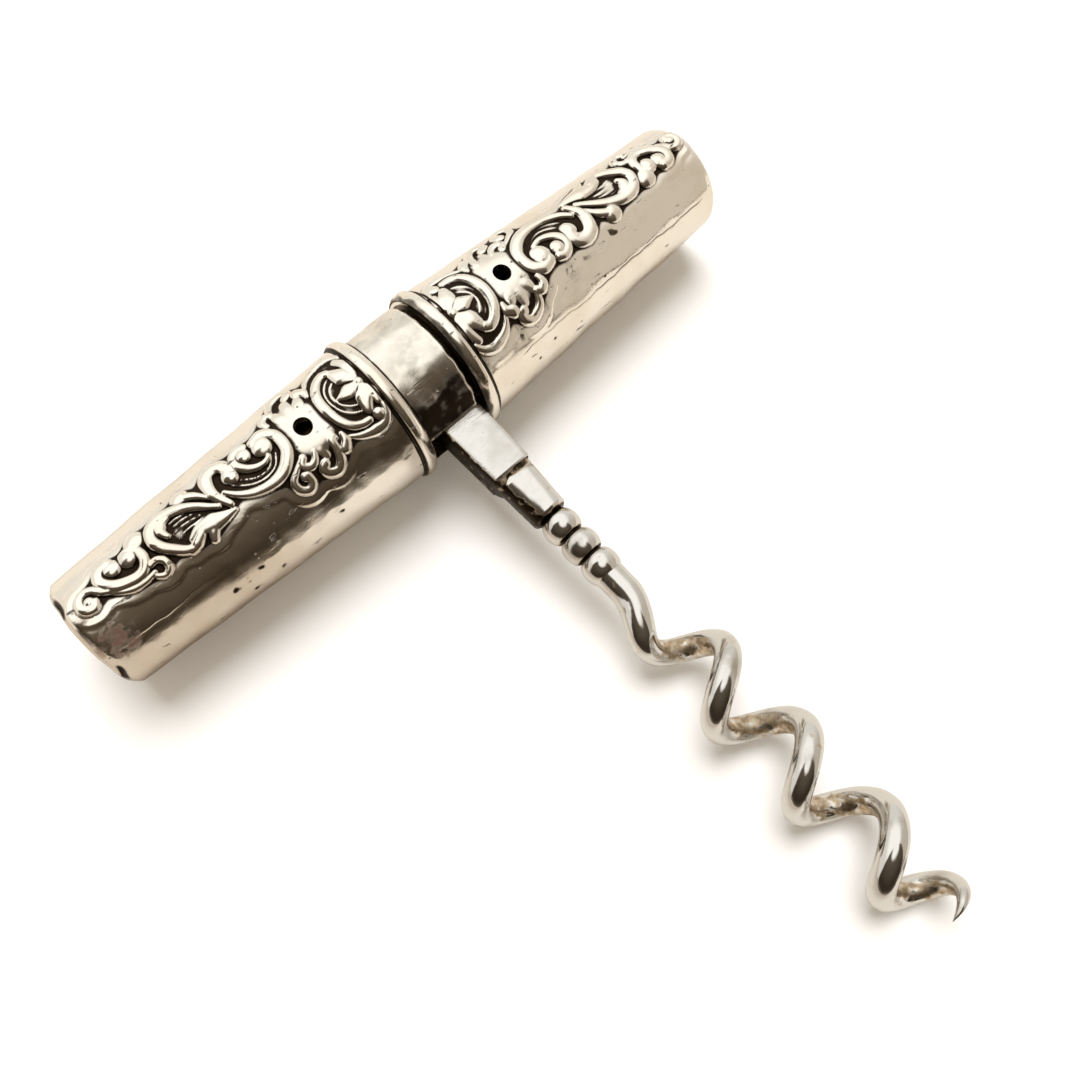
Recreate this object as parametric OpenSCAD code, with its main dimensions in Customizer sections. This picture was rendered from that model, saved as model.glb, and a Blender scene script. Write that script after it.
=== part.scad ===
// Roundlet corkscrew. Two tapered cases make the cross handle, and a steel worm folds out of the
// slotted neck between them. The worm turns on a pin in a plug that slides along a guide tube, so
// that the worm can be stored inside both cases.
// Frame: X along the handle, the worm along -Y, Z up, the origin on the pivot pin. Millimetres.

/* [Worm] */
// Outside diameter of the helix
worm_od = 9.16; // [8:0.02:11]
// Diameter of the wire
wire_d = 2.8; // [2.2:0.1:3.4]
// Rise of the helix in one turn
worm_pitch = 10.8; // [9:0.1:13]
// Angle of the point round the worm's axis, from +X towards +Z
tip_angle = 112; // [60:1:150]
// Angle by which the point curls in ahead of the helix
tip_curl = 109; // [0:1:140]
// Length of the tapered point, along the worm's axis
tip_len = 6; // [3:0.2:8]
// Length of the straight stem before the wire bends
stem_len = 1.6; // [0.5:0.1:3]
// Length over which the wire bends out to the helix
bend_len = 8.1; // [6:0.1:10]
// Angle that the wire turns back by where it starts to bend
lead_turn = 190; // [0:5:240]

/* [Shank] */
// Width of the flat tang at the pivot
tang_w = 5.6; // [4.6:0.1:6]
// Width of the flat tang at its shoulder
tang_end_w = 5; // [4.2:0.1:5.2]
// Thickness of the flat tang
tang_t = 4.3; // [3.8:0.1:5]
// Pivot to the tang's shoulder
tang_len = 15.3; // [13:0.1:18]
// Length of the round waist behind the beads
waist_len = 6.3; // [4:0.1:8]
// Diameter of the waist at the shoulder
waist_d = 4.4; // [3.8:0.1:4.8]
// Diameter of the waist at the beads
waist_end_d = 4.3; // [3.6:0.1:4.8]
// Number of turned beads
bead_count = 3; // [1:1:5]
// Diameter of a bead
bead_d = 4.2; // [3.8:0.1:5]
// Distance from bead to bead
bead_pitch = 2.95; // [2.6:0.05:4]
// Diameter at the bottom of the grooves beside the beads
groove_d = 3; // [2.6:0.1:3.4]
// Diameter of the stem that leaves the last bead
stem_d = 3.4; // [3.2:0.1:3.8]

/* [Cases] */
// Length of one case, from its mouth to its closed end
case_len = 38.2; // [34:0.1:44]
// Distance between the two mouths
mouth_gap = 7.6; // [7:0.1:10]
// Thickness of the struck sheet
case_wall = 0.5; // [0.3:0.05:0.8]
// Rounding of the closed end's edge
end_round = 0.4; // [0.1:0.05:0.45]
// Room round the guide tube at the closed end
end_room = 0.3; // [0.1:0.05:1]
// Thickness of the end disc
cap_t = 0.5; // [0.3:0.05:1]
// Depth of the end disc below the edge
cap_recess = 0.35; // [0.1:0.05:1]
// Width of the rim ring at the mouth
rim_w = 1.6; // [1:0.1:2.4]
// Height of the rim ring above the case
rim_h = 0.5; // [0.3:0.05:0.9]
// Diameter of the round hole on top of each case
top_hole_d = 2.1; // [1.5:0.1:3]
// Mouth to the middle of the round hole
top_hole_from_mouth = 9.5; // [8:0.1:14]

/* [Neck and collar] */
// Wall of the neck outside the guide tube
neck_wall = 1.38; // [1:0.02:1.8]
// Length of the neck inside the right case
neck_engage = 6.5; // [4:0.1:9]
// Length of the neck's seat inside the left case
seat_len = 7.5; // [5:0.1:8]
// Least wall of the liner in the right case's mouth
liner_t = 0.73; // [0.4:0.01:1.2]
// Depth of the liner's edge behind the right mouth
liner_set = 0.2; // [0.1:0.05:0.6]
// Gap between the collar and the right mouth
collar_gap = 1.3; // [0.5:0.1:2]
// Drop from the cases' mouths down to the collar
collar_drop = 0.3; // [0.1:0.05:0.6]
// Rounding of the collar's edges
collar_round = 0.25; // [0.1:0.05:0.3]

/* [Guide and plug] */
// Wall of the guide tube
guide_wall = 0.4; // [0.3:0.05:0.6]
// Height of the lip that stops the plug
lip_h = 0.45; // [0.3:0.05:0.8]
// Diameter of the pivot pin
pin_d = 2.4; // [1.8:0.1:2.8]
// Depth of the pin's ends below the plug's surface
pin_set = 0.3; // [0.1:0.05:0.6]
// Web behind the tang in the plug
plug_web = 1.5; // [1:0.1:3]

/* [Fits] */
// Gap where pieces are pressed or soldered together
seat_clear = 0.02; // [0.01:0.01:0.05]
// Gap round pieces that turn or slide on each other
run_clear = 0.05; // [0.02:0.01:0.1]
// Gap between the tang and the sides of the neck's slot
slot_clear = 0.35; // [0.2:0.05:0.6]
// Gap between the tang and the right mouth, and between the left mouth and the slot
mouth_clear = 0.25; // [0.05:0.05:0.4]
// Gap round the worm inside the stop lip
worm_clear = 0.17; // [0.1:0.01:0.5]
// Gap behind the tang's round end in the plug
fork_clear = 0.4; // [0.2:0.05:0.8]
// Gap left at the ends of the cases when the worm is stored
store_clear = 2.1; // [0.4:0.1:4]

/* [Hidden] */
$fn = 96;

// Colours
silver = "#d9d2c4";
brass = "#b8935a";
steel = "#c8c8c4";

// Radii, from the worm outwards to the case
wire_r = wire_d / 2;
helix_axis_r = worm_od / 2 - wire_r;
lip_r = worm_od / 2 + worm_clear;
guide_r = lip_r + lip_h;
guide_outer_r = guide_r + guide_wall;
plug_r = guide_r - run_clear;
neck_bore_r = guide_outer_r + seat_clear;
neck_r = neck_bore_r + neck_wall;
liner_r = neck_r + run_clear;
mouth_r = liner_r + liner_t + seat_clear + case_wall;
end_r = guide_outer_r + end_room + case_wall;
rim_r = mouth_r + rim_h;
collar_r = mouth_r - collar_drop;

// Places along the handle
right_mouth_x = tang_w / 2 + mouth_clear;
left_mouth_x = right_mouth_x - mouth_gap;
collar_w = mouth_gap - collar_gap;
slot_x = left_mouth_x + mouth_clear;
slot_h = tang_t + 2 * slot_clear;
stop_x = right_mouth_x + run_clear;
neck_end_x = right_mouth_x + neck_engage;
cap_out = case_len - cap_recess;
cap_in = cap_out - cap_t;
guide_start_x = left_mouth_x - cap_in + seat_clear;

// The plug and its pin
plug_back = tang_w / 2 + fork_clear + plug_web;
plug_front_x = stop_x - run_clear;
fork_h = tang_t + 2 * run_clear;
pin_r = pin_d / 2;
pin_half = sqrt(plug_r * plug_r - pin_r * pin_r) - pin_set;

// Places along the worm's axis, measured from the pivot
inner_len = mouth_gap + 2 * cap_in;
worm_reach = inner_len - plug_back - store_clear;
bead_start = tang_len + waist_len;
bead_end = bead_start + bead_count * bead_pitch;
stub_len = 0.5;
stem_end = bead_end + stub_len;
sweep_start = bead_end + stub_len / 2;
bend_start = sweep_start + stem_len;
tip_start = worm_reach - tip_len;
tip_draw = 0.45;
tip_r = 0.1;

// Facets of the swept wire, closer together towards the point
wire_sides = 16;
rings_per_turn = 22;
ring_count = ceil((tip_start - sweep_start) * rings_per_turn / worm_pitch);
ring_step = (tip_start - sweep_start) / ring_count;
tip_rings = 26;

// A length that is longer than any piece
beyond = 4 * case_len;

function clamp(t) = min(1, max(0, t));
function ease(t) = t * t * (3 - 2 * t);
function unit(v) = v / norm(v);

// Outside and inside radius of a case at a distance from its mouth
function case_r(u) = mouth_r - (mouth_r - end_r) * clamp((u - rim_w) / (case_len - rim_w));
function case_inner_r(u) = case_r(u) - case_wall;
function seat_r(u) = case_inner_r(u) - seat_clear;

// Points of an arc in a profile
function arc(c, r, from, to) = [
    for (i = [0 : 6]) let (a = from + (to - from) * i / 6) c + r * [cos(a), sin(a)]
];

// Centre line, wire radius and frame of the worm at a distance from the pivot
function tip_share(s) = clamp((s - tip_start) / tip_len);
function bend_share(s) = clamp((s - bend_start) / bend_len);
function helix_r(s) = helix_axis_r * ease(bend_share(s)) * (1 - tip_draw * pow(tip_share(s), 1.5));
function helix_a(s) =
    tip_angle - tip_curl * (1 - pow(tip_share(s), 6))
    + lead_turn * pow(1 - bend_share(s), 2)
    + 360 * (s - worm_reach) / worm_pitch;
function helix_point(s) = [helix_r(s) * cos(helix_a(s)), helix_r(s) * sin(helix_a(s)), s];
function swell(s) = (stem_d / 2 - wire_r) * (1 - ease(bend_share(s)));
function tube_r(s) = tip_r + (wire_r + swell(s) - tip_r) * (1 - pow(tip_share(s), 3));
function tangent(s) = unit(helix_point(s + 0.05) - helix_point(s - 0.05));
function wire_ring(s) =
    let (
        t = tangent(s),
        out = [cos(helix_a(s)), sin(helix_a(s)), 0],
        n = unit(out - t * (out * t)),
        b = cross(t, n)
    )
    [
        for (k = [0 : wire_sides - 1])
            let (a = 360 * k / wire_sides)
            helix_point(s) + tube_r(s) * (cos(a) * n + sin(a) * b)
    ];

// Turns a piece that was made along Z to lie along the worm
module along_worm() {
    rotate([90, 0, 0]) children();
}

// Turns a piece that was made along Z to lie along the handle
module along_handle() {
    rotate([0, 90, 0]) children();
}

// Places a piece made outwards from a mouth: side 1 is the right case, side -1 the left case
module on_case(side) {
    translate([side > 0 ? right_mouth_x : left_mouth_x, 0, 0])
        rotate([0, 90 * side, 0])
            children();
}

// The way that the tang swings through the neck, from -Y round to the open end at +X
module swing_slot() {
    translate([slot_x, -beyond, -slot_h / 2])
        cube([beyond, beyond, slot_h]);
}

// A case of struck sheet with its round hole on top
module case_shell(side) {
    difference() {
        on_case(side)
            rotate_extrude()
                polygon(concat(
                    [[mouth_r, 0], [mouth_r, rim_w]],
                    arc([end_r - end_round, case_len - end_round], end_round, 0, 90),
                    [
                        [case_inner_r(case_len), case_len],
                        [case_inner_r(rim_w), rim_w],
                        [case_inner_r(0), 0],
                    ]
                ));
        translate([(side > 0 ? right_mouth_x : left_mouth_x) + side * top_hole_from_mouth, 0, 0])
            cylinder(h = beyond, d = top_hole_d);
    }
}

// The rounded ring that stiffens a case's mouth
module case_rim(side) {
    corner = min(rim_h, rim_w / 2) - seat_clear;
    on_case(side)
        rotate_extrude()
            polygon(concat(
                [[mouth_r + seat_clear, rim_w], [mouth_r + seat_clear, 0]],
                arc([rim_r - corner, corner], corner, -90, 0),
                arc([rim_r - corner, rim_w - corner], corner, 0, 90)
            ));
}

// The disc that closes a case's outer end
module case_end_cap(side) {
    on_case(side)
        translate([0, 0, cap_in])
            cylinder(h = cap_t, r1 = seat_r(cap_in), r2 = seat_r(cap_out));
}

module left_shell() {
    color(silver) case_shell(-1);
}

module left_rim() {
    color(silver) case_rim(-1);
}

module left_end_cap() {
    color(silver) case_end_cap(-1);
}

module right_shell() {
    color(silver) case_shell(1);
}

module right_rim() {
    color(silver) case_rim(1);
}

module right_end_cap() {
    color(silver) case_end_cap(1);
}

// The tube that the plug slides in, slotted where the tang comes out
module guide_tube() {
    color(brass)
        difference() {
            translate([guide_start_x, 0, 0])
                along_handle()
                    difference() {
                        cylinder(h = stop_x - seat_clear - guide_start_x, r = guide_outer_r);
                        translate([0, 0, -1])
                            cylinder(h = beyond, r = guide_r);
                    }
            swing_slot();
        }
}

// The slotted neck: seated in the left case, with a stop lip, and a push fit for the right case
module neck_sleeve() {
    color(brass)
        difference() {
            along_handle()
                rotate_extrude()
                    polygon([
                        [neck_bore_r, left_mouth_x - seat_len],
                        [seat_r(seat_len), left_mouth_x - seat_len],
                        [seat_r(rim_w), left_mouth_x - rim_w],
                        [seat_r(0), left_mouth_x],
                        [neck_r, left_mouth_x],
                        [neck_r, neck_end_x],
                        [lip_r, neck_end_x],
                        [lip_r, stop_x],
                        [neck_bore_r, stop_x],
                    ]);
            swing_slot();
        }
}

// The band that shows between the two cases, open at the slot
module collar() {
    edge_r = collar_r - collar_round;
    color(silver)
        difference() {
            translate([left_mouth_x, 0, 0])
                along_handle()
                    rotate_extrude()
                        polygon(concat(
                            [[neck_r + seat_clear, collar_w], [neck_r + seat_clear, seat_clear]],
                            [[collar_r, seat_clear]],
                            arc([edge_r, collar_w - collar_round], collar_round, 0, 90)
                        ));
            translate([left_mouth_x, -beyond, -slot_h / 2])
                cube([beyond, beyond, slot_h]);
        }
}

// The bush in the right case's mouth that runs on the neck
module right_liner() {
    liner_end = liner_set + neck_engage;
    color(brass)
        on_case(1)
            rotate_extrude()
                polygon([
                    [liner_r, liner_set],
                    [seat_r(0), liner_set],
                    [seat_r(rim_w), rim_w],
                    [seat_r(liner_end), liner_end],
                    [liner_r, liner_end],
                ]);
}

// The forked plug that carries the pivot pin along the guide tube
module slide_plug() {
    color(brass)
        difference() {
            translate([-plug_back, 0, 0])
                along_handle()
                    cylinder(h = plug_back + plug_front_x, r = plug_r);
            translate([plug_web - plug_back, -beyond / 2, -fork_h / 2])
                cube([beyond, beyond, fork_h]);
            translate([0, 0, -beyond / 2])
                cylinder(h = beyond, r = pin_r + seat_clear);
        }
}

module pivot_pin() {
    color(steel)
        translate([0, 0, -pin_half])
            cylinder(h = 2 * pin_half, r = pin_r);
}

// The flat tang, round at the pivot and narrowing to its shoulder
module tang() {
    translate([0, 0, -tang_t / 2])
        linear_extrude(tang_t) {
            circle(d = tang_w);
            polygon([
                [-tang_w / 2, 0],
                [-tang_end_w / 2, -tang_len],
                [tang_end_w / 2, -tang_len],
                [tang_w / 2, 0],
            ]);
        }
}

// The waist, the beads and the stub that the wire grows out of
module turned_shank() {
    bead_half = bead_pitch / 2;
    rise = (bead_d - groove_d) / 2;
    along_worm()
        rotate_extrude()
            polygon(concat(
                [[0, tang_len - tang_w / 2], [waist_d / 2, tang_len - tang_w / 2], [waist_d / 2, tang_len]],
                [[waist_end_d / 2, bead_start], [groove_d / 2, bead_start]],
                [
                    for (i = [0 : bead_count - 1])
                        for (a = [20 : 20 : 160])
                            [
                                groove_d / 2 + rise * sin(a),
                                bead_start + bead_pitch * (i + 0.5) - bead_half * cos(a)
                            ]
                ],
                [[stem_d / 2 + seat_clear, bead_end], [stem_d / 2 + seat_clear, stem_end], [0, stem_end]]
            ));
}

// The wire: straight out of the stem, out to the helix and along it to the point
module helix_wire() {
    places = concat(
        [for (i = [0 : ring_count - 1]) sweep_start + i * ring_step],
        [for (i = [0 : tip_rings - 1]) worm_reach - tip_len * pow(1 - i / tip_rings, 2)]
    );
    rings = [for (s = places) wire_ring(s)];
    points = concat([for (ring = rings) each ring], [helix_point(worm_reach)]);
    last = (len(rings) - 1) * wire_sides;
    sides = [
        for (i = [0 : len(rings) - 2])
            for (k = [0 : wire_sides - 1])
                let (a = i * wire_sides + k, b = i * wire_sides + (k + 1) % wire_sides)
                each [[a, a + wire_sides, b + wire_sides], [a, b + wire_sides, b]]
    ];
    root = [[for (k = [0 : wire_sides - 1]) k]];
    point = [
        for (k = [0 : wire_sides - 1])
            [last + k, last + wire_sides, last + (k + 1) % wire_sides]
    ];
    along_worm()
        polyhedron(points, concat(root, sides, point));
}

// The steel worm: tang, waist, beads and helix forged in one piece
module worm() {
    color(steel)
        difference() {
            union() {
                tang();
                turned_shank();
                helix_wire();
            }
            translate([0, 0, -tang_t])
                cylinder(h = 2 * tang_t, r = pin_r + run_clear);
        }
}

left_shell();
left_rim();
left_end_cap();
guide_tube();
neck_sleeve();
collar();
slide_plug();
pivot_pin();
worm();
right_shell();
right_rim();
right_end_cap();
right_liner();
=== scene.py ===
"""Looks of the roundlet corkscrew: struck silver cases, a bright steel worm and the pale table under them.

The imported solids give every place. Lengths in the classes are millimetres and become metres when a mesh
is placed. The silver is rolled from flat patterns, which carry the scrollwork as raised strokes.
"""

import logging
import math
from collections.abc import Sequence
from dataclasses import dataclass
from enum import Enum

import bmesh
import bpy
import numpy as np
from mathutils import Matrix, Vector

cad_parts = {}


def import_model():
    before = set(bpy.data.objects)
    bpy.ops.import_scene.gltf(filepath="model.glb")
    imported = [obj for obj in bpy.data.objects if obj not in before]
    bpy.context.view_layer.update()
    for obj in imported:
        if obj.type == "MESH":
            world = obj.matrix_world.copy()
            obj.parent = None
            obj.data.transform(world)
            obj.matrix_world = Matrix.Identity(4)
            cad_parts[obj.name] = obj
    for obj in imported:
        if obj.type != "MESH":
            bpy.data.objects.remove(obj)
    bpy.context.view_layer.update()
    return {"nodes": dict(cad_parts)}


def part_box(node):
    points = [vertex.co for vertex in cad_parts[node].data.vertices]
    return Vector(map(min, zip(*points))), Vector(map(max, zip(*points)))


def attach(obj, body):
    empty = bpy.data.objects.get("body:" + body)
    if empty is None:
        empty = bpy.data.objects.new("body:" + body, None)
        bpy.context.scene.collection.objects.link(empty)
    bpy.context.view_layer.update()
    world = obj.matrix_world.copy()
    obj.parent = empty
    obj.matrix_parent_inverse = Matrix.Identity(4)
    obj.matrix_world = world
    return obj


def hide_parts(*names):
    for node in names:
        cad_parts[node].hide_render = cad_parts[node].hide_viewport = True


MM = 0.001
TARNISH_AND_SHADE = "tarnish_and_shade"
LOG = logging.getLogger("corkscrew")

Array = np.ndarray
Point = tuple[float, float]
Range = tuple[float, float]
Triple = tuple[float, float, float]
Colour = Triple
Socket = bpy.types.NodeSocket


class Side(Enum):
    """Which half of the handle a piece belongs to."""

    LEFT = "left"
    RIGHT = "right"

    @property
    def outward(self) -> int:
        """The sign of X that leads from the mouth to the outer end."""
        return 1 if self is Side.RIGHT else -1

    @property
    def body(self) -> str:
        """The body that carries this half."""
        return f"{self.value}_half"


class Section(Enum):
    """How the section of a raised stroke is rounded: exponents of its width and of its height."""

    BAND = (2.7, 0.8)
    BALL = (2.0, 0.6)
    DOME = (2.4, 0.8)


@dataclass(frozen=True)
class Stroke:
    """One raised line of the die.

    Attributes:
        points: places that the line passes, each outward from the mouth and then across.
        half_widths: half of its width at the start, at the middle and at the end.
        height: how far its crest stands up.
        section: how it is rounded.
    """

    points: tuple[Point, ...]
    half_widths: Triple
    height: float = 0.42
    section: Section = Section.BAND


def ball(along: float, across: float, radius: float, height: float = 0.46) -> Stroke:
    """Makes the round bead that ends a scroll.

    Args:
        along: distance from the mouth.
        across: distance from the top line.
        radius: radius of the bead.
        height: how far it stands up.

    Returns:
        The bead as a very short stroke.
    """
    return Stroke(((along, across), (along + 0.02, across)), (radius,) * 3, height, Section.BALL)


def smooth_path(points: Sequence[Point], spacing: float = 0.06) -> tuple[Array, Array]:
    """Runs a smooth curve through a stroke's points.

    Args:
        points: the places that the curve passes.
        spacing: rough distance between the places that are returned.

    Returns:
        The places along the curve, and the share of its length at each.
    """
    knots = np.array([points[0], *points, points[-1]], float)
    runs = []
    for before, start, end, after in zip(knots, knots[1:], knots[2:], knots[3:]):
        count = max(2, int(np.linalg.norm(end - start) / spacing))
        t = np.linspace(0, 1, count, endpoint=False)[:, None]
        bend = 2 * before - 5 * start + 4 * end - after
        turn = 3 * start - before - 3 * end + after
        runs.append(0.5 * (2 * start + (end - before) * t + bend * t**2 + turn * t**3))
    path = np.vstack([*runs, knots[-1:]])
    length = np.concatenate([[0], np.cumsum(np.linalg.norm(np.diff(path, axis=0), axis=1))])
    return path, length / length[-1]


def ease(share: Array) -> Array:
    """Goes from 0 to 1 with no kink at either end."""
    held = np.clip(share, 0, 1)
    return held * held * (3 - 2 * held)


def ripples(places: Array, wavelength: float, seed: int) -> Array:
    """Gives gentle hammered waves over a surface.

    Args:
        places: points in mm, one row each.
        wavelength: rough distance from crest to crest.
        seed: picks the set of waves.

    Returns:
        A height at each point, mostly between -1 and 1.
    """
    waves = 9
    chosen = np.random.default_rng(seed)
    directions = chosen.normal(size=(waves, 3))
    directions /= np.linalg.norm(directions, axis=1, keepdims=True)
    rates = 2 * math.pi / wavelength * chosen.uniform(0.6, 1.5, waves)
    phases = chosen.uniform(0, 2 * math.pi, waves)
    return np.sin(places @ (directions * rates[:, None]).T + phases).sum(axis=1) / math.sqrt(waves)


def blurred(field: Array, cells: int) -> Array:
    """Blurs a raster with three passes of a box.

    Args:
        field: the raster.
        cells: half of the box's width, in cells.

    Returns:
        The blurred raster.
    """
    width = 2 * cells + 1
    box = np.ones(width) / width
    for axis in (0, 1):
        for _ in range(3):
            padded = np.pad(field, [(cells, cells) if a == axis else (0, 0) for a in (0, 1)], mode="edge")
            field = np.apply_along_axis(np.convolve, axis, padded, box, "valid")
    return field


MOUTH_ROSETTE = (
    Stroke(((4.0, 3.3), (4.9, 3.2), (5.8, 2.7), (6.45, 1.7), (6.75, 0.4), (6.7, -0.9), (6.3, -2.0),
            (5.6, -2.8), (4.7, -3.2), (4.1, -3.0)), (0.25, 0.38, 0.32)),
    Stroke(((1.9, -3.9), (2.6, -4.7), (3.8, -5.1), (5.2, -4.8), (6.2, -4.1), (6.7, -3.2)),
           (0.2, 0.34, 0.15), 0.3),
    Stroke(((1.9, 2.9), (2.2, 3.7), (3.0, 4.3), (4.3, 4.3), (5.7, 3.9), (6.8, 3.2)),
           (0.25, 0.38, 0.12), 0.34),
    ball(2.9, 3.35, 0.42, 0.36),
    Stroke(((3.9, 2.3), (4.9, 1.9), (5.7, 1.0), (5.95, -0.2), (5.7, -1.3), (5.0, -2.1), (4.3, -2.4)),
           (0.1, 0.14, 0.1), 0.17),
    Stroke(((3.9, 1.6), (4.7, 1.2), (5.3, 0.5), (5.4, -0.5), (5.0, -1.3), (4.4, -1.7)),
           (0.1, 0.13, 0.1), 0.15),
    Stroke(((2.3, -0.15), (3.2, 0.05), (4.2, 0.1), (5.1, 0.05)), (0.2, 0.5, 0.12)),
    Stroke(((2.4, 0.2), (2.7, 1.0), (3.1, 1.7), (3.4, 2.4)), (0.25, 0.62, 0.35)),
    Stroke(((2.3, 0.4), (2.0, 1.4), (2.1, 2.3)), (0.2, 0.4, 0.3), 0.36),
    Stroke(((2.5, -0.5), (3.0, -1.3), (3.5, -2.1), (3.9, -2.8)), (0.25, 0.6, 0.3)),
    Stroke(((2.3, -0.7), (2.1, -1.7), (2.2, -2.7), (2.6, -3.6)), (0.2, 0.42, 0.25), 0.36),
    ball(2.35, -0.1, 0.32, 0.42),
)

HOLE_BOSS = (
    Stroke(((9.5, 1.0), (9.5, -0.6), (9.5, -1.6)), (1.6, 1.7, 1.2), 0.34, Section.DOME),
    Stroke(((8.9, -1.5), (8.3, -2.4), (7.9, -3.1)), (0.45, 0.5, 0.35), 0.3),
    Stroke(((9.4, -1.7), (9.4, -2.7), (9.3, -3.5)), (0.45, 0.5, 0.38), 0.3),
    Stroke(((10.0, -1.5), (10.6, -2.3), (10.9, -3.0)), (0.45, 0.5, 0.35), 0.3),
    Stroke(((8.8, 1.5), (8.2, 2.3), (7.8, 2.9)), (0.45, 0.45, 0.3), 0.28),
    Stroke(((9.6, 1.7), (9.7, 2.6), (9.6, 3.3)), (0.45, 0.45, 0.35), 0.28),
    Stroke(((7.1, 2.7), (7.2, 3.4), (7.7, 3.9)), (0.2, 0.35, 0.4)),
    Stroke(((8.3, 2.6), (8.4, 3.6), (8.8, 4.6), (9.6, 5.1), (10.4, 4.8), (10.6, 4.2), (10.2, 3.9)),
           (0.3, 0.36, 0.36), 0.38),
    Stroke(((10.3, 2.4), (10.8, 3.1), (11.5, 3.3), (12.0, 2.8), (11.6, 2.3)), (0.22, 0.32, 0.3), 0.38),
    Stroke(((11.9, 2.3), (12.9, 2.9), (13.7, 3.5), (13.7, 4.4), (13.0, 4.9), (12.3, 4.5), (12.3, 3.8)),
           (0.2, 0.3, 0.34), 0.36),
    ball(12.5, 3.75, 0.36, 0.38),
    Stroke(((7.1, -2.4), (7.1, -3.1), (7.7, -3.6)), (0.2, 0.35, 0.42)),
    Stroke(((11.0, -3.4), (10.8, -4.4), (10.2, -5.1), (9.2, -5.4), (8.4, -5.0), (8.3, -4.4), (8.7, -4.2)),
           (0.2, 0.36, 0.36), 0.36),
    Stroke(((12.1, -2.5), (12.2, -3.2), (11.7, -3.7), (11.2, -3.5)), (0.25, 0.34, 0.32), 0.38),
)

MIDDLE_SCROLL = (
    Stroke(((14.2, -1.9), (13.2, -2.15), (12.35, -1.5), (12.0, -0.5), (12.15, 0.6), (12.8, 1.5), (13.8, 2.15),
            (15.1, 2.4), (16.4, 2.25), (17.6, 1.8), (18.6, 1.1), (19.4, 0.2)), (0.45, 0.42, 0.2), 0.46),
    ball(13.75, -1.2, 0.72, 0.52),
    Stroke(((13.2, 0.3), (14.0, 1.25), (15.2, 1.6), (16.4, 1.45), (17.4, 0.95), (18.4, 0.1)),
           (0.1, 0.15, 0.08), 0.18),
    Stroke(((13.6, 0.1), (14.4, 0.9), (15.4, 1.15), (16.4, 0.9), (17.4, 0.2)), (0.08, 0.13, 0.08), 0.16),
    Stroke(((13.9, 0.15), (14.7, 0.35), (15.6, 0.15), (16.4, -0.4), (16.85, -1.2), (16.7, -2.1), (16.0, -2.5),
            (15.3, -2.3)), (0.16, 0.32, 0.36)),
    ball(15.75, -1.65, 0.55),
    Stroke(((17.9, -0.7), (17.75, -1.6), (18.2, -2.4), (19.1, -2.7), (19.9, -2.3), (20.3, -1.3), (20.3, -0.2),
            (19.9, 0.8), (19.6, 1.4)), (0.5, 0.5, 0.25), 0.44),
    ball(18.0, -0.9, 0.52),
)

LONG_LEAF = (
    Stroke(((19.6, 2.1), (20.8, 2.0), (22.2, 1.75), (23.4, 1.6), (24.3, 1.9)), (0.15, 0.62, 0.35)),
    Stroke(((22.0, 1.9), (22.6, 2.6), (22.9, 3.1)), (0.45, 0.38, 0.28), 0.38),
    Stroke(((23.6, 1.9), (24.6, 2.5), (25.2, 2.7)), (0.4, 0.4, 0.25), 0.4),
    Stroke(((20.6, 0.9), (21.4, 0.2), (22.4, -0.7), (23.5, -1.5), (24.8, -2.05), (26.1, -2.1), (27.0, -1.6),
            (27.4, -0.6), (27.1, 0.5), (26.4, 1.4), (25.6, 2.2), (24.9, 2.55)), (0.2, 0.5, 0.32), 0.46),
    Stroke(((26.0, 0.0), (26.3, -0.8), (25.9, -1.5), (25.0, -1.75)), (0.2, 0.45, 0.3)),
    Stroke(((22.2, 0.75), (23.4, 0.75), (24.5, 0.75), (25.3, 0.95)), (0.08, 0.15, 0.1), 0.19),
    Stroke(((22.5, 0.35), (23.6, 0.2), (24.6, 0.1), (25.4, 0.2)), (0.08, 0.15, 0.1), 0.19),
    Stroke(((22.9, -0.2), (23.9, -0.4), (25.0, -0.45)), (0.08, 0.15, 0.1), 0.19),
    Stroke(((23.5, -0.75), (24.4, -0.95), (25.2, -0.95)), (0.08, 0.15, 0.1), 0.19),
    Stroke(((20.8, -0.3), (21.4, -1.2), (22.1, -1.9), (22.8, -2.4)), (0.16, 0.3, 0.38), 0.38),
    ball(23.0, -2.55, 0.62, 0.42),
)

RAMS_HORN = (
    Stroke(((28.9, 1.25), (28.2, 1.15), (27.65, 1.7), (27.75, 2.5), (28.4, 2.85), (29.0, 2.5)),
           (0.25, 0.3, 0.22), 0.38),
    ball(28.7, -1.9, 0.7, 0.46),
    Stroke(((30.4, -1.4), (29.5, -1.5), (28.95, -0.7), (28.95, 0.3), (29.5, 1.1), (30.4, 1.35), (31.4, 1.15),
            (32.4, 0.7), (33.1, 0.0), (33.35, -0.9), (32.9, -1.7), (32.0, -1.85)), (0.32, 0.42, 0.46), 0.46),
    ball(30.05, -0.9, 0.62),
    ball(31.9, -1.1, 0.64),
    Stroke(((29.0, 2.0), (30.2, 2.15), (31.4, 1.95), (32.5, 1.35), (33.3, 0.7)), (0.2, 0.3, 0.2), 0.3),
)

TAIL_CURL = (
    Stroke(((33.2, 0.6), (33.9, 0.1), (34.4, -0.5), (35.1, -0.8), (35.8, -0.5), (36.1, 0.2), (35.8, 0.9),
            (35.1, 1.1), (34.8, 0.7)), (0.3, 0.36, 0.36)),
    ball(35.2, 0.35, 0.42, 0.42),
)


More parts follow.
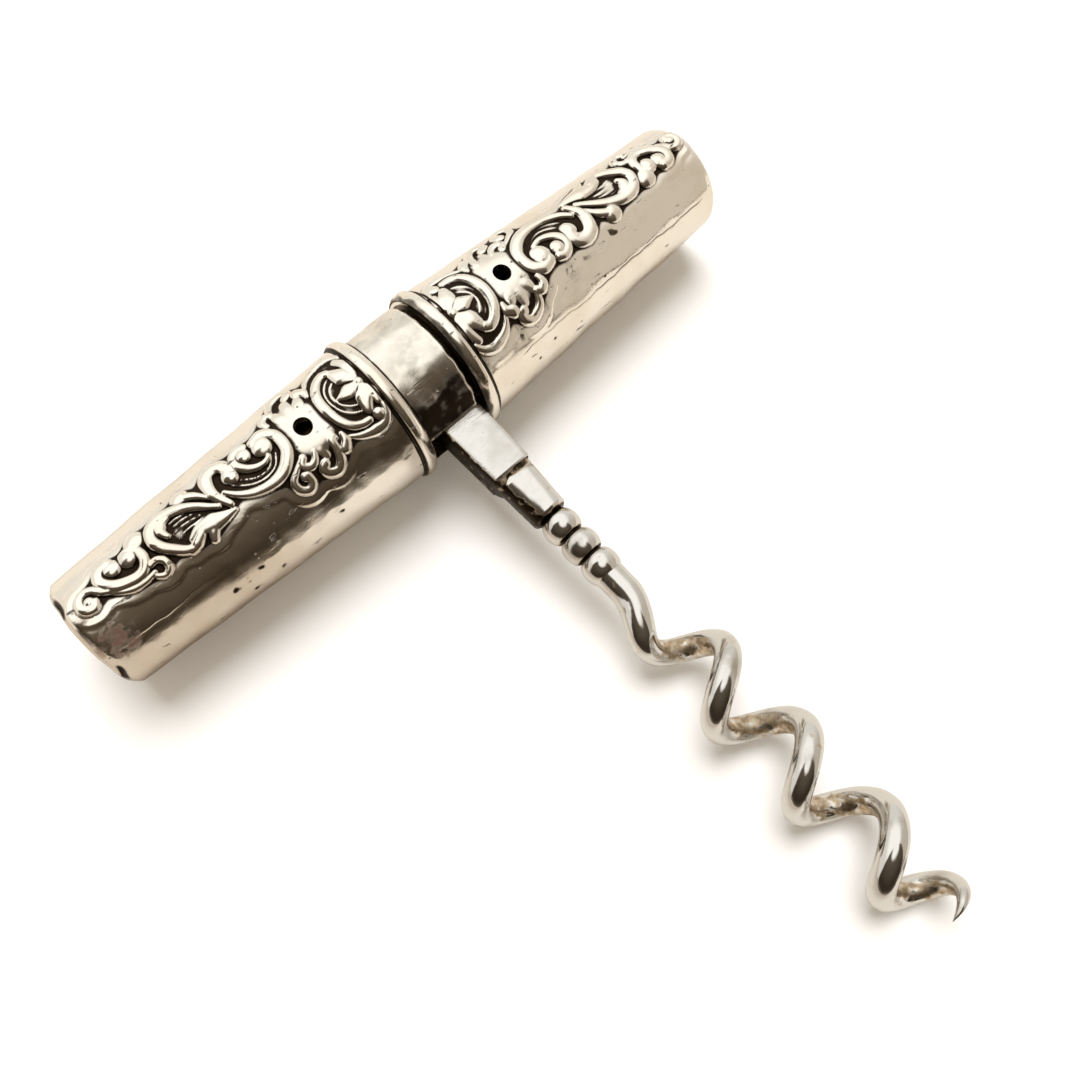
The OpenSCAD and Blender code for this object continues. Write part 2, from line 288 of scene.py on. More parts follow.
@dataclass
class Relief:
    """The scrollwork as a raster of heights over a case's flat pattern.

    Attributes:
        drift: how far this striking runs off the die, as (along, shift along, shift across) in mm.
        length: length of the case.
        reach: how far across the raster goes on each side of the top line.
        cell: size of a cell.
        swell: height of the low swelling under the strokes.
        mouth_swell: share of the swelling that there is near the mouth.
        swell_from: distance from the mouth at which the swelling starts to grow.
        swell_over: distance over which it grows.
        struck_over: height past which the ground counts as struck.
        fullness: how much wider the strokes are struck than drawn.
        vein: half width under which a stroke is a vein.
        vein_fullness: how much wider a vein is struck than drawn.
        vein_height: how high the veins are struck, as a share of their drawn height.
        growth: how much higher the strokes stand at the outer end, as a share.
        worm_side: sign of the direction across that leads towards the worm.
        full_depth: how far a hollow lies under what surrounds it where tarnish fills it.
        open_share: share of the tarnish in a hollow that no strokes enclose.
        enclosed: share of struck ground round a place where it starts to be enclosed, and the share more that
            encloses it.
        shaded_slope: slope at which the worm's side of a stroke starts to darken with painted shade, and the
            slope more that does it.
        shade_share: how dark that painted shade gets.
    """

    drift: tuple[Triple, ...]
    length: float
    reach: float = 8.0
    cell: float = 0.1
    swell: float = 0.17
    mouth_swell: float = 0.35
    swell_from: float = 9.0
    swell_over: float = 6.0
    struck_over: float = 0.03
    fullness: float = 1.75
    vein: float = 0.2
    vein_fullness: float = 1.15
    vein_height: float = 1.0
    growth: float = 0.35
    worm_side: int = 1
    full_depth: float = 0.085
    open_share: float = 0.25
    enclosed: Range = (0.3, 0.28)
    shaded_slope: Range = (0.6, 0.8)
    shade_share: float = 0.45

    def __post_init__(self) -> None:
        """Strikes every stroke, works out the tarnish in the recesses between them, and paints shade on the
        worm's side of each stroke.
        """
        self.along = np.arange(0, self.length + self.cell, self.cell)
        self.across = np.arange(-self.reach, self.reach + self.cell, self.cell)
        struck = np.zeros((len(self.along), len(self.across)))
        for stroke in MOUTH_ROSETTE + HOLE_BOSS + MIDDLE_SCROLL + LONG_LEAF + RAMS_HORN + TAIL_CURL:
            self._strike(struck, stroke)
        covered = (struck > self.struck_over).astype(float)
        ground = blurred((blurred(covered, 5) > 0.02).astype(float), 1)
        taller = 1 + self.growth * self.along[:, None] / self.length
        grown = ease((self.along[:, None] - self.swell_from) / self.swell_over)
        deeper = self.mouth_swell + (1 - self.mouth_swell) * grown
        self.heights = struck * taller + self.swell * ground * deeper
        lost = blurred(struck, 4) - struck
        enclosed = ease((blurred(covered, 7) - self.enclosed[0]) / self.enclosed[1])
        kept = self.open_share + (1 - self.open_share) * enclosed
        between = np.clip(lost / self.full_depth, 0, 1) * kept
        # Painted shade: where a stroke slopes down towards the worm's side, that side is darkened.
        slope = -self.worm_side * np.gradient(struck, self.cell, axis=1)
        shaded = self.shade_share * ease((slope - self.shaded_slope[0]) / self.shaded_slope[1])
        self.tarnish_and_shade = np.maximum(between, shaded)

    def _strike(self, field: Array, stroke: Stroke) -> None:
        """Raises one stroke on the raster.

        Args:
            field: the raster, which is changed.
            stroke: the stroke.
        """
        path, share = smooth_path(stroke.points)
        shift = np.array(self.drift)
        path = path + np.column_stack([np.interp(path[:, 0], shift[:, 0], shift[:, k]) for k in (1, 2)])
        drawn = np.interp(share, (0, 0.5, 1), stroke.half_widths)
        is_vein = max(stroke.half_widths) < self.vein
        half = drawn * (self.vein_fullness if is_vein else self.fullness)
        crest = stroke.height * np.clip(drawn / max(stroke.half_widths), 0, 1) ** 0.5
        crest = crest * (self.vein_height if is_vein else 1.0)
        width_power, height_power = stroke.section.value
        margin = half.max()
        rows = self._window(self.along, path[:, 0], margin)
        columns = self._window(self.across, path[:, 1], margin)
        places = np.stack(np.meshgrid(self.along[rows], self.across[columns], indexing="ij"), axis=-1)
        part = field[rows, columns]
        for place, width, top in zip(path, half, crest):
            off = np.clip(np.linalg.norm(places - place, axis=-1) / width, 0, 1)
            np.maximum(part, top * (1 - off**width_power) ** height_power, out=part)

    @staticmethod
    def _window(lines: Array, values: Array, margin: float) -> slice:
        """Finds the raster lines that a stroke can reach."""
        low, high = np.searchsorted(lines, (values.min() - margin, values.max() + margin))
        return slice(max(0, low - 1), high + 1)

    def sample(self, field: Array, along: Array, across: Array) -> Array:
        """Reads a raster between its cells.

        Args:
            field: one of the rasters.
            along: distances from the mouth.
            across: distances from the top line.

        Returns:
            The raster's value at each place, and 0 beyond its edges.
        """
        inside = (np.abs(across) < self.reach - self.cell) & (along > 0) & (along < self.length - self.cell)
        row = np.clip(along / self.cell, 0, len(self.along) - 2)
        column = np.clip((across + self.reach) / self.cell, 0, len(self.across) - 2)
        r, c = row.astype(int), column.astype(int)
        fr, fc = row - r, column - c
        near = field[r, c] * (1 - fc) + field[r, c + 1] * fc
        far = field[r + 1, c] * (1 - fc) + field[r + 1, c + 1] * fc
        return np.where(inside, near * (1 - fr) + far * fr, 0)


class Recipe:
    """Short calls for building the nodes of a material or of the sky."""

    def __init__(self, owner: bpy.types.Material | bpy.types.World) -> None:
        """Empties the owner's nodes.

        Args:
            owner: the material or the sky that the nodes are for.
        """
        owner.use_nodes = True
        self.owner = owner
        self.tree = owner.node_tree
        self.tree.nodes.clear()

    @classmethod
    def named(cls, name: str) -> "Recipe":
        """Starts an empty material."""
        return cls(bpy.data.materials.new(name))

    def add(self, kind: str, settings: dict | None = None, **inputs: object) -> bpy.types.Node:
        """Adds a node.

        Args:
            kind: the node's type.
            settings: properties of the node itself.
            inputs: a value or a socket for each input, with _ for a space in its name.

        Returns:
            The node.
        """
        node = self.tree.nodes.new(kind)
        for key, value in (settings or {}).items():
            setattr(node, key, value)
        for key, value in inputs.items():
            self.feed(node.inputs[key.replace("_", " ")], value)
        return node

    def feed(self, socket: Socket, value: object) -> None:
        """Links a socket to an input, or sets the input's own value.

        Args:
            socket: the input.
            value: a socket, a colour of three numbers, or the input's own kind of value.
        """
        if isinstance(value, bpy.types.NodeSocket):
            self.tree.links.new(value, socket)
        elif isinstance(value, tuple) and len(value) == 3 and socket.type == "RGBA":
            socket.default_value = (*value, 1.0)
        else:
            socket.default_value = value

    def place(self) -> Socket:
        """Gives the place on the piece, in metres."""
        return self.add("ShaderNodeTexCoord").outputs["Object"]

    def attribute(self, name: str) -> Socket:
        """Gives a number that is stored on the mesh."""
        return self.add("ShaderNodeAttribute", {"attribute_name": name}).outputs["Fac"]

    def noise(self, scale: float, detail: float = 3.0, stretch: Triple = (1.0, 1.0, 1.0)) -> Socket:
        """Gives a noise.

        Args:
            scale: its cells a metre before the stretch.
            detail: how much fine noise is added.
            stretch: how much closer the cells are on each axis.

        Returns:
            The noise, about 0.5 on the whole.
        """
        mapped = self.add("ShaderNodeMapping", Vector=self.place(), Scale=stretch)
        made = self.add("ShaderNodeTexNoise", Vector=mapped.outputs["Vector"], Scale=scale, Detail=detail)
        return made.outputs["Fac"]

    def span(self, value: Socket, low: float, high: float, start: float = 0.0, end: float = 1.0) -> Socket:
        """Maps one range onto another, softly and held at both ends.

        Args:
            value: what is mapped.
            low: the value that becomes the start.
            high: the value that becomes the end.
            start: what low becomes.
            end: what high becomes.

        Returns:
            The mapped value.
        """
        made = self.add("ShaderNodeMapRange", {"interpolation_type": "SMOOTHSTEP"}, Value=value)
        for name, number in (("From Min", low), ("From Max", high), ("To Min", start), ("To Max", end)):
            made.inputs[name].default_value = number
        return made.outputs["Result"]

    def math(self, operation: str, first: object, second: object = 0.0) -> Socket:
        """Does one sum.

        Args:
            operation: which sum.
            first: its first number or socket.
            second: its second one.

        Returns:
            The sum's result.
        """
        made = self.add("ShaderNodeMath", {"operation": operation})
        self.feed(made.inputs[0], first)
        self.feed(made.inputs[1], second)
        return made.outputs[0]

    def blend(self, share: Socket, first: object, second: object) -> Socket:
        """Mixes two colours.

        Args:
            share: how much of the second colour shows.
            first: the first colour or socket.
            second: the second one.

        Returns:
            The mixed colour.
        """
        made = self.add("ShaderNodeMix", {"data_type": "RGBA"})
        self.feed(made.inputs[0], share)
        self.feed(made.inputs[6], first)
        self.feed(made.inputs[7], second)
        return made.outputs[2]

    def facing(self, way: Socket, towards: Triple) -> Socket:
        """Measures a place or a direction along a fixed direction.

        Args:
            way: the place or the direction.
            towards: the fixed direction.

        Returns:
            Their dot product.
        """
        made = self.add("ShaderNodeVectorMath", {"operation": "DOT_PRODUCT"})
        self.feed(made.inputs[0], way)
        self.feed(made.inputs[1], towards)
        return made.outputs["Value"]

    def bump(self, height: Socket, depth: float, under: Socket | None = None) -> Socket:
        """Turns a height into a normal.

        Args:
            height: the height, from 0 to 1.
            depth: how deep that is, in metres.
            under: a normal that it is laid over.

        Returns:
            The normal.
        """
        made = self.add("ShaderNodeBump", Strength=1.0, Distance=depth, Height=height)
        if under is not None:
            self.feed(made.inputs["Normal"], under)
        return made.outputs["Normal"]

    def metal(self, colour: Socket, rough: Socket, normal: Socket) -> bpy.types.Node:
        """Gives a metal's shader.

        Args:
            colour: its colour.
            rough: its roughness.
            normal: the way that its surface faces.

        Returns:
            The shader's node.
        """
        made = self.add("ShaderNodeBsdfPrincipled", Base_Color=colour, Metallic=1.0)
        self.feed(made.inputs["Roughness"], rough)
        self.feed(made.inputs["Normal"], normal)
        return made

    def finish(self, surface: Socket) -> bpy.types.Material:
        """Sends a shader to the output."""
        self.add("ShaderNodeOutputMaterial", Surface=surface)
        return self.owner


@dataclass(frozen=True)
class SilverFinish:
    """Worn polished silver, with brown tarnish in its recesses, pits, scratches, one reddish stain, and
    painted shade where the mesh carries it.

    Lengths are in metres, and noises are counted in cells a metre.

    Attributes:
        bright: colour of the polish.
        warm: colour where it has yellowed.
        tarnish: colour of the recesses, the pits and the streaks, and of the painted shade.
        reddish: colour of the stain at the left end.
        reddish_at: place of that stain.
        reddish_radii: distances from its middle where it starts to fade and where it ends.
        reddish_ragged: how far a noise moves its edge.
        reddish_share: how much of its colour shows.
        reddish_dulls: roughness that it adds.
        cloud_cells: noise of the yellowing.
        pit_cells: spacing of the pits.
        pit_radii: sizes of a pit's floor and edge, in cells.
        pit_share: how dark a pit is.
        streak_cells: noise of the dark streaks on each axis.
        scratch_cells: noise of the fine scratches on each axis.
        polish: roughness of the best and of the worst polish.
        scratch_dulls: roughness that the scratches add.
        dark_dulls: roughness that the tarnish adds.
        wave_depth: depth of the hammered waves.
        grain_depth: depth of the grain.
        scratch_depth: depth of the scratches.
        pit_depth: depth of the pits and the streaks.
    """

    bright: Colour = (0.93, 0.885, 0.81)
    warm: Colour = (0.86, 0.79, 0.69)
    tarnish: Colour = (0.035, 0.023, 0.015)
    reddish: Colour = (0.36, 0.17, 0.11)
    reddish_at: Triple = (-0.04005, -0.00412, 0.0052)
    reddish_radii: Range = (0.0006, 0.0021)
    reddish_ragged: float = 0.0008
    reddish_share: float = 0.75
    reddish_dulls: float = 0.75
    cloud_cells: float = 170.0
    pit_cells: float = 900.0
    pit_radii: Range = (0.08, 0.16)
    pit_share: float = 0.8
    streak_cells: Triple = (420.0, 1300.0, 1300.0)
    scratch_cells: Triple = (350.0, 5200.0, 5200.0)
    polish: Range = (0.08, 0.22)
    scratch_dulls: float = 0.1
    dark_dulls: float = 0.35
    wave_depth: float = 0.00008
    grain_depth: float = 0.000005
    scratch_depth: float = 0.000003
    pit_depth: float = 0.00003

    def material(self) -> bpy.types.Material:
        """Builds the nodes.

        Returns:
            The material.
        """
        recipe = Recipe.named("worn_silver")
        cloud = recipe.noise(self.cloud_cells, 4.0)
        plain = recipe.blend(recipe.span(cloud, 0.42, 0.72), self.bright, self.warm)
        away = recipe.add("ShaderNodeVectorMath", {"operation": "DISTANCE"})
        recipe.feed(away.inputs[0], recipe.place())
        recipe.feed(away.inputs[1], self.reddish_at)
        ragged = recipe.span(recipe.noise(1100.0, 4.0), 0.3, 0.7, -self.reddish_ragged, self.reddish_ragged)
        radius = recipe.math("ADD", away.outputs["Value"], ragged)
        red = recipe.span(radius, *self.reddish_radii, self.reddish_share, 0.0)
        body = recipe.blend(red, plain, self.reddish)
        pits = recipe.add("ShaderNodeTexVoronoi", Vector=recipe.place(), Scale=self.pit_cells)
        spot = recipe.span(pits.outputs["Distance"], *self.pit_radii, 1.0, 0.0)
        rare = recipe.span(recipe.noise(330.0, 2.0), 0.57, 0.64)
        pit = recipe.math("MULTIPLY", spot, rare)
        streak = recipe.span(recipe.noise(1.0, 5.0, self.streak_cells), 0.66, 0.72)
        broken = recipe.span(recipe.noise(1500.0, 3.0), 0.35, 0.6, 0.2, 0.85)
        stain = recipe.math("MULTIPLY", streak, broken)
        # The stored number holds tarnish, dirt and painted shade, which all take the tarnish colour.
        darkening = recipe.noise(900.0, 3.0)
        tarnish_and_shade = recipe.math("MULTIPLY", recipe.attribute(TARNISH_AND_SHADE), recipe.span(darkening, 0.25, 0.6, 0.8, 1.1))
        flaw = recipe.math("MAXIMUM", recipe.math("MULTIPLY", pit, self.pit_share), stain)
        dark = recipe.math("MAXIMUM", recipe.span(tarnish_and_shade, 0.15, 0.75), flaw)
        colour = recipe.blend(dark, body, self.tarnish)
        lines = recipe.noise(1.0, 2.0, self.scratch_cells)
        rough = recipe.span(recipe.noise(420.0, 4.0), 0.3, 0.75, *self.polish)
        scuffed = recipe.math("ADD", rough, recipe.span(lines, 0.58, 0.75, 0.0, self.scratch_dulls))
        dark_dull = recipe.math("MULTIPLY", dark, self.dark_dulls)
        red_dull = recipe.math("MULTIPLY", red, self.reddish_dulls)
        dulled = recipe.math("ADD", dark_dull, red_dull)
        worn = recipe.math("ADD", scuffed, dulled)
        waves = recipe.bump(recipe.noise(430.0, 0.5), self.wave_depth)
        grain = recipe.bump(recipe.noise(2600.0, 1.0), self.grain_depth, waves)
        scratched = recipe.bump(recipe.span(lines, 0.6, 0.8), self.scratch_depth, grain)
        normal = recipe.bump(recipe.math("SUBTRACT", 1.0, flaw), self.pit_depth, scratched)
        shader = recipe.metal(colour, worn, normal)
        return recipe.finish(shader.outputs["BSDF"])


@dataclass(frozen=True)
class SteelFinish:
    """Bright steel, with file marks across the tang, a mottled grey where the polish has gone, and scale and
    painted shade where the mesh carries them.

    Lengths are in metres, and noises are counted in cells a metre.

    Attributes:
        bright: colour of the polish.
        dull: colour where it has gone.
        bronze: colour of the thin scale, and of the edges of the painted shade.
        stain: colour of the thick scale, and of the painted shade on the shank.
        tang_end: Y of the tang's shoulder.
        tang_blend: half of the length over which the tang's finish changes there.
        tang_dull: share of the dull patches that the tang shows.
        mottle_cells: noise of the dull patches.
        spot_share: how dark the small spots are.
        filed_cells: noise of the file marks on each axis.
        polish: roughness of the best and of the worst polish.
        filed_dulls: roughness that the filing adds.
        dark_dulls: roughness that the scale adds.
        wave_depth: depth of the forged waves.
        filed_depth: depth of the file marks.
    """

    bright: Colour = (0.73, 0.72, 0.70)
    dull: Colour = (0.48, 0.45, 0.40)
    bronze: Colour = (0.60, 0.48, 0.34)
    stain: Colour = (0.03, 0.02, 0.012)
    tang_end: float = -0.0153
    tang_blend: float = 0.0005
    tang_dull: float = 0.4
    mottle_cells: float = 260.0
    spot_share: float = 0.4
    filed_cells: Triple = (350.0, 3000.0, 350.0)
    polish: Range = (0.06, 0.22)
    filed_dulls: float = 0.12
    dark_dulls: float = 0.26
    wave_depth: float = 0.00002
    filed_depth: float = 0.00002

    def material(self) -> bpy.types.Material:
        """Builds the nodes.

        Returns:
            The material.
        """
        recipe = Recipe.named("bright_steel")
        mottle = recipe.noise(self.mottle_cells, 5.0)
        axis = recipe.add("ShaderNodeSeparateXYZ", Vector=recipe.place())
        fade = self.tang_blend
        flat = recipe.span(axis.outputs["Y"], self.tang_end - fade, self.tang_end + fade)
        clean = recipe.span(flat, 0.0, 1.0, 1.0, self.tang_dull)
        patchy = recipe.math("MULTIPLY", recipe.span(mottle, 0.5, 0.78), clean)
        body = recipe.blend(patchy, self.bright, self.dull)
        spots = recipe.span(recipe.noise(900.0, 3.0), 0.66, 0.76)
        speckle = recipe.span(recipe.noise(1300.0, 4.0), 0.3, 0.62, 0.55, 1.15)
        # The stored number holds scale and painted shade: the shank's -X flank, the grooves and the shoulder.
        tarnish_and_shade = recipe.span(recipe.math("MULTIPLY", recipe.attribute(TARNISH_AND_SHADE), speckle), 0.12, 0.8)
        dark = recipe.math("MAXIMUM", tarnish_and_shade, recipe.math("MULTIPLY", spots, self.spot_share))
        warmed = recipe.blend(recipe.span(dark, 0.0, 0.45), body, self.bronze)
        colour = recipe.blend(recipe.span(dark, 0.35, 1.0), warmed, self.stain)
        filed = recipe.noise(1.0, 3.0, self.filed_cells)
        marks = recipe.math("MULTIPLY", recipe.span(filed, 0.35, 0.7), flat)
        polished = recipe.span(mottle, 0.3, 0.8, *self.polish)
        worn = recipe.math("ADD", polished, recipe.math("MULTIPLY", flat, self.filed_dulls))
        rough = recipe.math("ADD", worn, recipe.span(dark, 0.0, 0.4, 0.0, self.dark_dulls))
        waves = recipe.bump(recipe.noise(650.0, 2.0), self.wave_depth)
        normal = recipe.bump(marks, self.filed_depth, waves)
        shader = recipe.metal(colour, rough, normal)
        return recipe.finish(shader.outputs["BSDF"])


@dataclass(frozen=True)
class BrassFinish:
    """Turned brass, dulled by age, with painted shade, near black, where the neck shows beside the collar.

    Lengths are in metres, and noises are counted in cells a metre.

    Attributes:
        bright: colour of the best metal.
        aged: colour where it has dulled.
        darkening: colour of the painted shade on the neck.
        shade_from: X where the painted shade starts.
        shade_to: X where it ends.
        shade_blend: half of the length over which it fades at both ends.
        cloud_cells: noise of the dulling.
        turned_cells: noise of the lathe's marks on each axis.
        turned_depth: depth of those marks.
        polish: roughness of the best and of the worst metal.
    """

    bright: Colour = (0.58, 0.42, 0.20)
    aged: Colour = (0.20, 0.13, 0.065)
    darkening: Colour = (0.018, 0.012, 0.008)
    shade_from: float = 0.0012
    shade_to: float = 0.0033
    shade_blend: float = 0.0003
    cloud_cells: float = 300.0
    turned_cells: Triple = (6500.0, 250.0, 250.0)
    turned_depth: float = 0.000004
    polish: Range = (0.28, 0.5)

    def material(self) -> bpy.types.Material:
        """Builds the nodes.

        Returns:
            The material.
        """
        recipe = Recipe.named("aged_brass")
        cloud = recipe.noise(self.cloud_cells, 5.0)
        metal = recipe.blend(recipe.span(cloud, 0.38, 0.68), self.bright, self.aged)
        along = recipe.add("ShaderNodeSeparateXYZ", Vector=recipe.place()).outputs["X"]
        fade = self.shade_blend
        # Painted shade: the neck in the gap between the collar and the right rim is painted near black.
        start = recipe.span(along, self.shade_from - fade, self.shade_from + fade)
        end = recipe.span(along, self.shade_to - fade, self.shade_to + fade, 1.0, 0.0)
        colour = recipe.blend(recipe.math("MULTIPLY", start, end), metal, self.darkening)
        turned = recipe.noise(1.0, 2.0, self.turned_cells)
        rough = recipe.span(cloud, 0.3, 0.7, *self.polish)
        normal = recipe.bump(turned, self.turned_depth)
        shader = recipe.metal(colour, rough, normal)
        return recipe.finish(shader.outputs["BSDF"])


@dataclass(frozen=True)
class TableFinish:
    """Matt white board, which the metal mirrors in painted shade: a little warmer, and darker on the left and
    far off.

    Lengths are in metres, and noises are counted in cells a metre.

    Attributes:
        white: colour of the board.
        mirrored_left: colour of the painted shade that the metal mirrors on the left.
        mirrored_right: colour of the painted shade that it mirrors on the right.
        mirrored_far: colour of the painted shade that it mirrors far off.
        lift: light that the board adds for the camera.
        left_edge: X where the left colour starts to fade and where it ends.
        near_edge: Y where the left colour starts to fade and where it ends.
        far_way: direction in which the board's far part lies.
        far_edge: distance in that direction where the far part starts, and where it is whole.
        fibre_cells: noise of the board's fibres.
        fibre_depth: depth of the fibres.
    """

    white: Colour = (0.94, 0.93, 0.92)
    mirrored_left: Colour = (0.50, 0.44, 0.375)
    mirrored_right: Colour = (0.73, 0.69, 0.63)
    mirrored_far: Colour = (0.07, 0.055, 0.04)
    lift: float = 0.02
    left_edge: Range = (-0.032, -0.008)
    near_edge: Range = (0.0, 0.035)
    far_way: Triple = (-0.45, -0.89, 0.0)
    far_edge: Range = (0.1, 0.13)
    fibre_cells: float = 2500.0
    fibre_depth: float = 0.00001

    def material(self) -> bpy.types.Material:
        """Builds the nodes.

        Returns:
            The material.
        """
        recipe = Recipe.named("white_board")
        fibre = recipe.noise(self.fibre_cells, 3.0)
        seen = recipe.add("ShaderNodeLightPath")
        axes = recipe.add("ShaderNodeSeparateXYZ", Vector=recipe.place())
        # Painted shade seen only in reflections: glossy rays find the board darker, most on the left and far
        # off.
        left = recipe.span(axes.outputs["X"], *self.left_edge, 1.0, 0.0)
        near = recipe.span(axes.outputs["Y"], *self.near_edge, 1.0, 0.0)
        shaded = recipe.math("MULTIPLY", left, near)
        close = recipe.blend(shaded, self.mirrored_right, self.mirrored_left)
        away = recipe.span(recipe.facing(recipe.place(), self.far_way), *self.far_edge)
        mirrored = recipe.blend(away, close, self.mirrored_far)
        white = recipe.blend(seen.outputs["Is Glossy Ray"], self.white, mirrored)
        matt = recipe.add("ShaderNodeBsdfDiffuse", Color=white, Normal=recipe.bump(fibre, self.fibre_depth))
        glow = recipe.add("ShaderNodeEmission")
        lifted = recipe.math("MULTIPLY", seen.outputs["Is Camera Ray"], self.lift)
        recipe.feed(glow.inputs["Strength"], lifted)
        both = recipe.add("ShaderNodeAddShader")
        recipe.feed(both.inputs[0], matt.outputs["BSDF"])
        recipe.feed(both.inputs[1], glow.outputs["Emission"])
        return recipe.finish(both.outputs["Shader"])


@dataclass
class Finishes:
    """The materials that the pieces share.

    Attributes:
        silver: for the cases, the rims, the discs and the collar.
        steel: for the worm and the pin.
        brass: for the pieces inside the handle.
        table: for the board under it.
    """

    silver: bpy.types.Material
    steel: bpy.types.Material
    brass: bpy.types.Material
    table: bpy.types.Material

    @classmethod
    def made(cls) -> "Finishes":
        """Builds one of each."""
        return cls(
            SilverFinish().material(),
            SteelFinish().material(),
            BrassFinish().material(),
            TableFinish().material(),
        )


def flat_grid(columns: int, rows: int) -> tuple[bmesh.types.BMesh, Array]:
    """Starts a sheet as a flat grid.

    Args:
        columns: faces across.
        rows: faces along.

    Returns:
        The mesh, and the share across and along of each vertex, from 0 to 1.
    """
    sheet = bmesh.new()
    bmesh.ops.create_grid(sheet, x_segments=columns, y_segments=rows, size=1)
    return sheet, (np.array([v.co[:2] for v in sheet.verts]) + 1) / 2


def place_vertices(sheet: bmesh.types.BMesh, places: Array) -> None:
    """Moves every vertex of a mesh to its place, given in mm."""
    for vertex, place in zip(sheet.verts, places * MM):
        vertex.co = place


def store(sheet: bmesh.types.BMesh, values: Array) -> None:
    """Keeps a number on each vertex, which the finishes read as how dark it is: tarnish, dirt, scale and
    painted shade.

    Args:
        sheet: the mesh.
        values: a number for each vertex, from 0 for clean metal to 1 for the darkest tarnish and painted
            shade.
    """
    layer = sheet.verts.layers.float.new(TARNISH_AND_SHADE)
    for vertex, value in zip(sheet.verts, values):
        vertex[layer] = float(value)


def finished_piece(name: str, mesh: bmesh.types.BMesh, material: bpy.types.Material, crease: float = 40.0,
                   weld: float = 2e-7) -> bpy.types.Object:
    """Closes a mesh and makes it an object.

    Args:
        name: the piece's name.
        mesh: its bmesh, which is freed.
        material: its finish.
        crease: angle in degrees past which an edge is sharp.
        weld: distance in metres within which vertices are one.

    Returns:
        The object, at the origin.
    """
    bmesh.ops.remove_doubles(mesh, verts=mesh.verts, dist=weld)
    bmesh.ops.dissolve_degenerate(mesh, edges=mesh.edges, dist=weld)
    bmesh.ops.recalc_face_normals(mesh, faces=mesh.faces)
    for face in mesh.faces:
        face.smooth = True
    data = bpy.data.meshes.new(name)
    mesh.to_mesh(data)
    mesh.free()
    data.set_sharp_from_angle(angle=math.radians(crease))
    data.materials.append(material)
    piece = bpy.data.objects.new(name, data)
    bpy.context.scene.collection.objects.link(piece)
    return piece


def dress(piece: bpy.types.Object, body: str, node: str) -> None:
    """Hangs a piece on its body in place of its solid.

    Args:
        piece: the object.
        body: the body that carries it.
        node: the solid that it stands for.
    """
    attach(piece, body)
    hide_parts(node)
    LOG.info("%s: %d faces for %s", piece.name, len(piece.data.polygons), node)


def rolled(outward: int, start: float, along: Array, radius: Array, angle: Array) -> Array:
    """Rolls a flat pattern round the handle's axis.

    Args:
        outward: sign of X that leads away from the mouth. A left case is a right one turned about Z.
        start: X of the mouth.
        along: distance from the mouth of each vertex.
        radius: distance from the axis.
        angle: angle from the top line, in radians.

    Returns:
        The places in mm.
    """
    return np.column_stack(
        [start + outward * along, outward * radius * np.sin(angle), radius * np.cos(angle)]
    )


def spun(start: float, outward: int, outline: list[Point], steps: int, closed: bool) -> bmesh.types.BMesh:
    """Spins an outline round the handle's axis.

    Args:
        start: X from which the outline is measured.
        outward: sign of X in which it is measured.
        outline: distance along and radius of each corner.
        steps: faces round the axis.
        closed: whether the last corner is joined to the first.

    Returns:
        The mesh, in mm.
    """
    ring = bmesh.new()
    corners = [ring.verts.new((start + outward * along, 0, radius)) for along, radius in outline]
    followers = corners[1:] + (corners[:1] if closed else [])
    edges = [ring.edges.new(pair) for pair in zip(corners, followers)]
    bmesh.ops.spin(ring, geom=corners + edges, cent=(0, 0, 0), axis=(1, 0, 0), dvec=(0, 0, 0),
                   angle=2 * math.pi, steps=steps, use_merge=True)
    return ring


